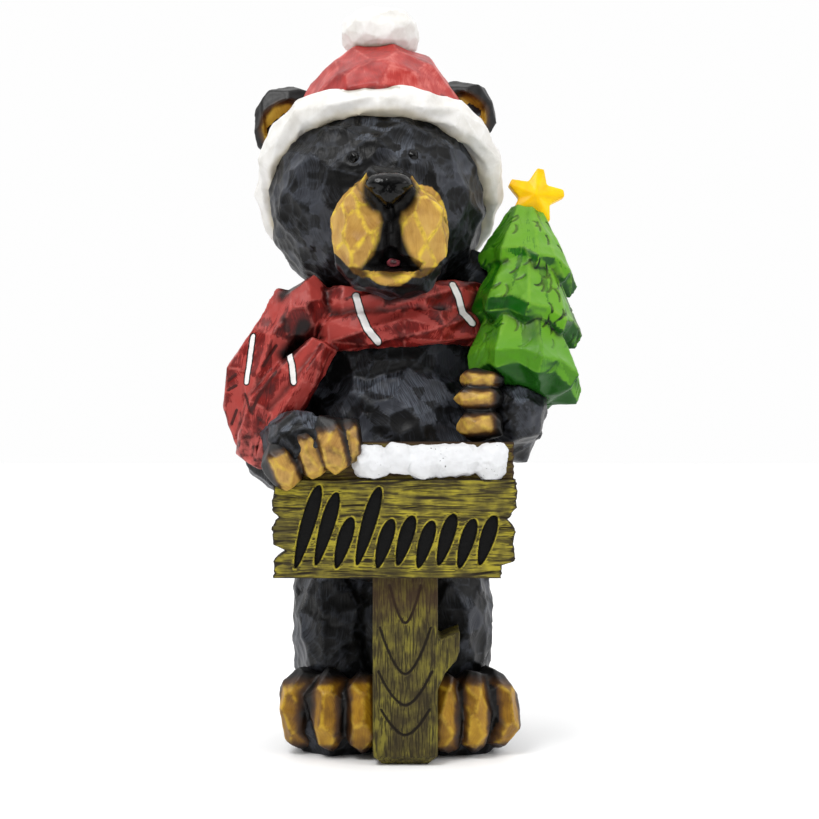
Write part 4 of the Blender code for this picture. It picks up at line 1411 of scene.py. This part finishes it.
def gold_coat(paint, deep, base, light, edge, edge_share=0.9):
    """A coat in gold, washed with soot, whose ridges catch much of the dry brush."""
    return coat(paint, deep, base, light, edge, SOOT, edge_share=edge_share, brush=0.3,
                patchy=0.3, edge_reach=2.8, cloud=0.7)


face_paint = Paint("face", **FUR_GLOSS)
border = face_paint.math("MULTIPLY", face_paint.fade(face_paint.value("chin"), 4.5, 0.8), 0.9)
gold_layer = face_paint.mix(border, gold_coat(face_paint, *TAN), TAWNY)
gold_layer = face_paint.mix(face_paint.fade(face_paint.value("soot"), -0.5, 5.0), gold_layer, SOOT)
uneven = face_paint.math("MULTIPLY_ADD", face_paint.noise(0.004), 1.6, face_paint.value("gold"))
face_paint.link("Base Color", face_paint.mix(face_paint.fade(uneven, 0.5, 1.3),
                                             fur_coat(face_paint), gold_layer))
carved_bump(face_paint, FUR_BUMP)
dress(face_paint, head)

# %% [markdown]
# ## Gold toes, fingers and ears
# The three share one recipe: a gold coat that turns brown and then black across its border. The
# toes are a darker gold than the fingers, and the ears are ochre. The border is broken up by noise
# as if it had been sprayed.

# %% Gold toes, fingers and ears
DARK_GOLD = (colour(96, 62, 12), colour(150, 108, 18), colour(190, 148, 36),
             colour(214, 178, 50))
OCHRE = (colour(112, 78, 22), colour(168, 132, 40), colour(196, 162, 56), colour(206, 176, 60))
SCORCHED = colour(84, 52, 20)


def gold_paint(name, shades, full, none, edge_share=0.5):
    """Gold that fades to black across its border."""
    gold_layer = Paint(name, Roughness=0.4, Specular_IOR_Level=0.3)
    smoke = gold_layer.math("MULTIPLY_ADD", gold_layer.noise(0.007, 3), 4.0,
                            gold_layer.value("soot"))
    shade = gold_coat(gold_layer, *shades, edge_share=edge_share)
    brown = gold_layer.mix(gold_layer.fade(smoke, (full + none) / 2, none), shade, SCORCHED)
    gold_layer.link("Base Color", gold_layer.mix(gold_layer.fade(smoke, full, none), brown, SOOT))
    carved_bump(gold_layer)
    return gold_layer


dress(gold_paint("toe_gold", DARK_GOLD, 7.0, -0.5), toes)
dress(gold_paint("ear_gold", OCHRE, 8.0, 1.0, edge_share=0.2), ears)
dress(gold_paint("finger_gold", TAN, 6.5, 1.6, edge_share=0.4), fingers)

# %% [markdown]
# ## Nose, eyes and tongue
# Nose and eyes are the one glossy black on the bear. The tongue is pink, and dark at its middle.

# %% Nose, eyes and tongue
gloss = Paint("gloss_black", Roughness=0.15, Base_Color=colour(2, 2, 2), Specular_IOR_Level=0.2)
gloss.bump((gloss.noise(0.0018, 2), 0.12))
dress(gloss, nose, eyes)
pink = Paint("tongue_pink", Roughness=0.35)
middle = pink.node("VectorMath", {0: pink.place, 1: at(-3.4, -108, 355.5)}, out="Value",
                   operation="DISTANCE")
pink.link("Base Color", pink.ramp(pink.math("MULTIPLY", middle, 100), (0.2, colour(50, 16, 20)),
                                  (0.42, colour(140, 64, 72))))
dress(pink, tongue)

# %% [markdown]
# ## Hat paint
# The crown is red, with pink painted highlights in patches and on its ridges. Brim and bobble are
# white, with beige painted shade at the brim's inner edge, where it meets the face, and one brown
# stain beside the cheek, where colour ran.

# %% Hat paint
STAIN_PIXEL, STAIN_Y = (485, 205), -60
red = Paint("hat_red", Roughness=0.42, Specular_IOR_Level=0.35)
# painted highlight: the pink light tones and ridges on the red crown
red.link("Base Color", coat(red, colour(126, 24, 22), colour(168, 46, 40), colour(198, 98, 90),
                            colour(212, 128, 120), colour(84, 14, 14), edge_share=0.4, brush=0.3,
                            patchy=0.4))
carved_bump(red, 0.15)
dress(red, crown)
white = Paint("hat_white", Roughness=0.55)
shade = coat(white, colour(200, 197, 190), colour(218, 216, 212), colour(228, 227, 225),
             colour(236, 236, 235), colour(160, 150, 130), edge_share=0.4, brush=0.15)
# painted shade: beige along the brim's inner edge, next to the face
inner_edge_shade = white.math("MULTIPLY_ADD", white.noise(0.01, 3), 6.0, white.value("inward"))
shade = white.mix(white.math("MULTIPLY", white.fade(inner_edge_shade, 17.0, 8.0), 0.7), shade,
                  colour(184, 172, 142))
stain_x, stain_z = seen(*STAIN_PIXEL, STAIN_Y)
spot = white.node("VectorMath", {0: white.place, 1: at(stain_x, STAIN_Y, stain_z)},
                  out="Value", operation="DISTANCE")
spot = white.math("MULTIPLY_ADD", white.noise(0.005, 3), 0.008, spot)
shade = white.mix(white.math("MULTIPLY", white.fade(spot, 0.006, 0.016), 0.7), shade,
                  colour(136, 96, 50))
white.link("Base Color", shade)
carved_bump(white, 0.1)
dress(white, brim, bobble)

# %% [markdown]
# ## Scarf paint
# The scarf is a deep red with a wide dark wash. Its cuts are dark red, its white stripes have a
# thin black outline, and its lowest end gets a lighter painted highlight.

# %% Scarf paint
wool = Paint("scarf_red", Roughness=0.38, Specular_IOR_Level=0.2)
ground = coat(wool, colour(64, 12, 11), colour(120, 28, 24), colour(164, 62, 56),
              colour(196, 104, 96), colour(12, 6, 6), edge_share=0.6, wash_reach=8, patchy=0.5)
cuts = wool.math("MULTIPLY", wool.fade(wool.value("mark"), *MARK_EDGE), 0.6)
ground = wool.mix(cuts, ground, colour(84, 24, 20))
# painted highlight: the low end of the scarf's tail is lit lighter
low = wool.fade(height(wool), 0.225, 0.25)
end_highlight = wool.math("MULTIPLY", low, wool.fade(wool.noise(0.006, 3), 0.6, 0.36))
ground = wool.mix(wool.math("MULTIPLY", end_highlight, 0.7), ground, colour(196, 92, 86))
line = wool.math("MULTIPLY_ADD", wool.noise(0.004), 0.8, wool.value("stripe"))
outlined = wool.mix(wool.fade(line, 1.2, 1.7), ground, SOOT)
wool.link("Base Color", wool.mix(wool.fade(line, 0.3, 0.7), outlined, colour(232, 230, 228)))
carved_bump(wool)
dress(wool, scarf)

# %% [markdown]
# ## Tree and star paint
# Green gets a painted highlight on what faces up, painted shade on the side by the bear, and
# painted shade under the rims, where the wide dark wash is partly painted shade too. The lowest
# rim stands out furthest, so it gets the same painted highlight as the branches. The star is a
# warm yellow with orange clouds.

# %% Tree and star paint
leaf = Paint("tree_green", Roughness=0.36, Specular_IOR_Level=0.2)
# the wide wash in the creases is partly dark paint and partly painted shade under the tiers
green = coat(leaf, colour(10, 62, 4), colour(40, 110, 10), colour(88, 146, 26),
             colour(128, 172, 52), colour(6, 26, 4), edge_share=0.5, patchy=0.9, cloud=0.7,
             wash_reach=6.0)
# painted highlight: lighter green on what faces up
lit = leaf.math("MULTIPLY_ADD", leaf.noise(0.02, 3), 0.8, facing(leaf, "Z"))
green = leaf.mix(leaf.math("MULTIPLY", leaf.fade(lit, 1.1, 0.55), 0.4), green,
                 colour(108, 156, 34))
# painted shade: darker green on the side that faces the bear
green = leaf.mix(leaf.math("MULTIPLY", leaf.fade(facing(leaf, "X"), -0.7, -0.1), 0.6), green,
                 colour(14, 92, 6))
# painted highlight: the lowest rim, which stands out furthest, is as light as the branches
lit_lowest_rim = leaf.fade(height(leaf), 0.297, 0.306)
green = leaf.mix(leaf.math("MULTIPLY", lit_lowest_rim, 0.7), green, colour(84, 142, 30))
# painted shade: dark green under the rims, on what faces down
leaf.link("Base Color", leaf.mix(leaf.fade(facing(leaf, "Z"), -0.45, -0.15), green,
                                 colour(24, 76, 14)))
carved_bump(leaf)
dress(leaf, tree)
yellow = Paint("star_yellow", Roughness=0.34, Specular_IOR_Level=0.2)
yellow.link("Base Color", yellow.ramp(yellow.noise(0.012, 3), (0.3, colour(234, 174, 0)),
                                      (0.6, colour(240, 198, 2)), (0.8, colour(246, 210, 14))))
carved_bump(yellow, 0.03)
dress(yellow, star)

# %% [markdown]
# ## Snow paint
# The snow is a matt white with a grainy bump, and a few black specks in loose groups, which are
# painted shade for small pits.

# %% Snow paint
frost = Paint("snow_white", Roughness=0.7)
# painted shade: black specks stand in for small pits in the snow
pit_shade = frost.fade(frost.noise(0.0022, 3), 0.72, 0.66)
pit_shade = frost.math("MULTIPLY", pit_shade, frost.fade(frost.noise(0.02), 0.6, 0.5))
frost.link("Base Color", frost.mix(pit_shade, colour(220, 221, 223), colour(60, 60, 60)))
frost.bump((frost.noise(0.0011, 3), 0.3))
dress(frost, snow)

# %% [markdown]
# ## Wood paint
# The wood is brown-green with dark stain in its grain and olive yellow brushed over it. The noise
# is stretched along the grain, which runs across on the planks and upright on the post. The
# strokes are black inside and have a bright rim. Painted shade darkens the post just under the
# board, and all of the upper plank under the snow.

# %% Wood paint
STROKE_BLACK, STROKE_RIM, CUT_BROWN = colour(3, 3, 3), colour(168, 154, 48), colour(30, 24, 15)


def wood_paint(name, stretch, shades, strokes):
    """Wood washed with dark stain in its grain, and dry-brushed with olive yellow."""
    oak = Paint(name, Roughness=0.6, Specular_IOR_Level=0.15)
    blot = oak.math("MULTIPLY_ADD", oak.noise(0.003, 3, stretch=stretch), 0.5, oak.noise(0.012, 4))
    shade = oak.ramp(blot, (0.6, shades[0]), (0.76, shades[1]), (0.92, shades[2]))
    lines = oak.fade(oak.noise(0.00115, 3, stretch=stretch), 0.4, 0.53)
    depth = oak.fade(oak.value("depth"), 1.4, 0.7)
    stain = oak.mix(oak.math("MAXIMUM", oak.math("MULTIPLY", lines, 0.85), depth), shade, shades[3])
    stain = oak.mix(oak.fade(oak.value("mark"), 2.4, 1.6), stain, CUT_BROWN)
    if strokes:
        inside = oak.value("inside")
        rim = oak.fade(oak.math("ABSOLUTE", oak.math("ADD", inside, 0.6)), 0.1, 0.7)
        rim = oak.math("MULTIPLY", rim, oak.fade(oak.noise(0.004, 3), 0.62, 0.4))
        stain = oak.mix(rim, stain, STROKE_RIM)
        stain = oak.mix(oak.fade(inside, 0.3, -0.2), stain, STROKE_BLACK)
    else:
        # painted shade: darker brown on the post under the board, and on the upper plank under the
        # snow
        top = oak.math("MULTIPLY", oak.fade(height(oak), 0.124, 0.092), 0.6)
        stain = oak.mix(top, stain, colour(62, 42, 28))
    oak.link("Base Color", stain)
    oak.bump((oak.noise(0.0009, 3, stretch=stretch), 0.3))
    return oak


OLIVE = (colour(86, 78, 36), colour(122, 112, 42), colour(158, 146, 46), colour(44, 37, 24))
BARK = (colour(62, 54, 31), colour(90, 82, 39), colour(120, 112, 44), colour(42, 36, 23))
dress(wood_paint("board_wood", (16, 1, 1), OLIVE, True), board)
dress(wood_paint("plank_wood", (16, 1, 1), OLIVE, False), top_plank)
dress(wood_paint("post_wood", (1, 1, 11), BARK, False), post)

# %% [markdown]
# ## What each piece stands for
# The real bear is one casting, so every piece rides on its one body, and its one solid is hidden
# so that the pieces show in its place.

# %% Riding the frame
PIECES = [body, arms, fingers, feet, toes, head, tongue, nose, eyes, ears, crown, brim, bobble,
          scarf, tree, star, snow, board, top_plank, post]
for piece in PIECES:
    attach(piece, "root")
    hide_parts("bear")
print("triangles", sum(2 * len(piece.data.polygons) for piece in PIECES))

# %% [markdown]
# ## Floor and light
# A studio with a white floor and white light from all round. The light is strongest from behind
# and above, as in a white tent, so that the outline stays clear and the front keeps its shadows. A
# large soft lamp from the left models the face, and a weak one fills in from the right.

# %% Floor and light
bpy.ops.mesh.primitive_plane_add(size=12)
floor = bpy.context.object
floor.name = "floor"
studio = Paint("studio_white", Roughness=0.9, Base_Color=(0.96, 0.96, 0.96, 1))
dress(studio, floor)
floor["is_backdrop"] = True

world = bpy.data.worlds.new("studio")
world.use_nodes = True
nodes, links = world.node_tree.nodes, world.node_tree.links
nodes["Background"].inputs["Color"].default_value = (1, 1, 1, 1)
split, total = nodes.new("ShaderNodeSeparateXYZ"), nodes.new("ShaderNodeMath")
links.new(nodes.new("ShaderNodeTexCoord").outputs["Generated"], split.inputs[0])
BRIGHTER_TOWARDS = (("Y", -0.7, 0.5, 0.22, 0.99), ("Z", 0.3, 1.0, 0.0, 0.9))
for i, (axis, *limits) in enumerate(BRIGHTER_TOWARDS):
    share = nodes.new("ShaderNodeMapRange")
    for socket, value in zip(("From Min", "From Max", "To Min", "To Max"), limits):
        share.inputs[socket].default_value = value
    links.new(split.outputs[axis], share.inputs["Value"])
    links.new(share.outputs[0], total.inputs[i])
links.new(total.outputs[0], nodes["Background"].inputs["Strength"])
bpy.context.scene.world = world


def lamp(name, place, target, size, watts):
    """A round lamp at a place in metres, turned towards its target."""
    light = bpy.data.objects.new(name, bpy.data.lights.new(name, "AREA"))
    light.data.shape = "DISK"
    light.data.size = size
    light.data.energy = watts
    light.location = place
    light.rotation_euler = (Vector(target) - Vector(place)).to_track_quat("-Z", "Y").to_euler()
    bpy.context.scene.collection.objects.link(light)
    print("lamp", name, watts, "watts")


CHEST = (0, 0, 0.3)
lamp("key", (-0.6, -1.0, 1.7), CHEST, 0.8, 17)
lamp("fill", (1.3, -0.8, 1.0), CHEST, 1.0, 6)

# %% [markdown]
# ## Camera
# The camera looks straight ahead at the bear's middle from 1.2 m. Its lens gives the photograph's
# scale in a square frame.

# %% Camera
SENSOR_WIDTH = 36
camera = bpy.data.objects.new("camera", bpy.data.cameras.new("camera"))
camera.location = (CAMERA_X * MM, -CAMERA_BACK * MM, CAMERA_Z * MM)
camera.rotation_euler = (math.pi / 2, 0, 0)
camera.data.sensor_width = SENSOR_WIDTH
camera.data.lens = FOCAL_PIXELS / PHOTO_SIZE * SENSOR_WIDTH
bpy.context.scene.collection.objects.link(camera)
bpy.context.scene.camera = camera
bpy.context.scene.view_settings.view_transform = "Standard"
print("lens", round(camera.data.lens, 1), "mm")

# %% [markdown]
# ## Sizes
# The dressed bear has to keep the solid's size, so the two boxes are written side by side.

# %% Sizes
[[list(corner) for corner in box] for box in (cad_box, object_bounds())]
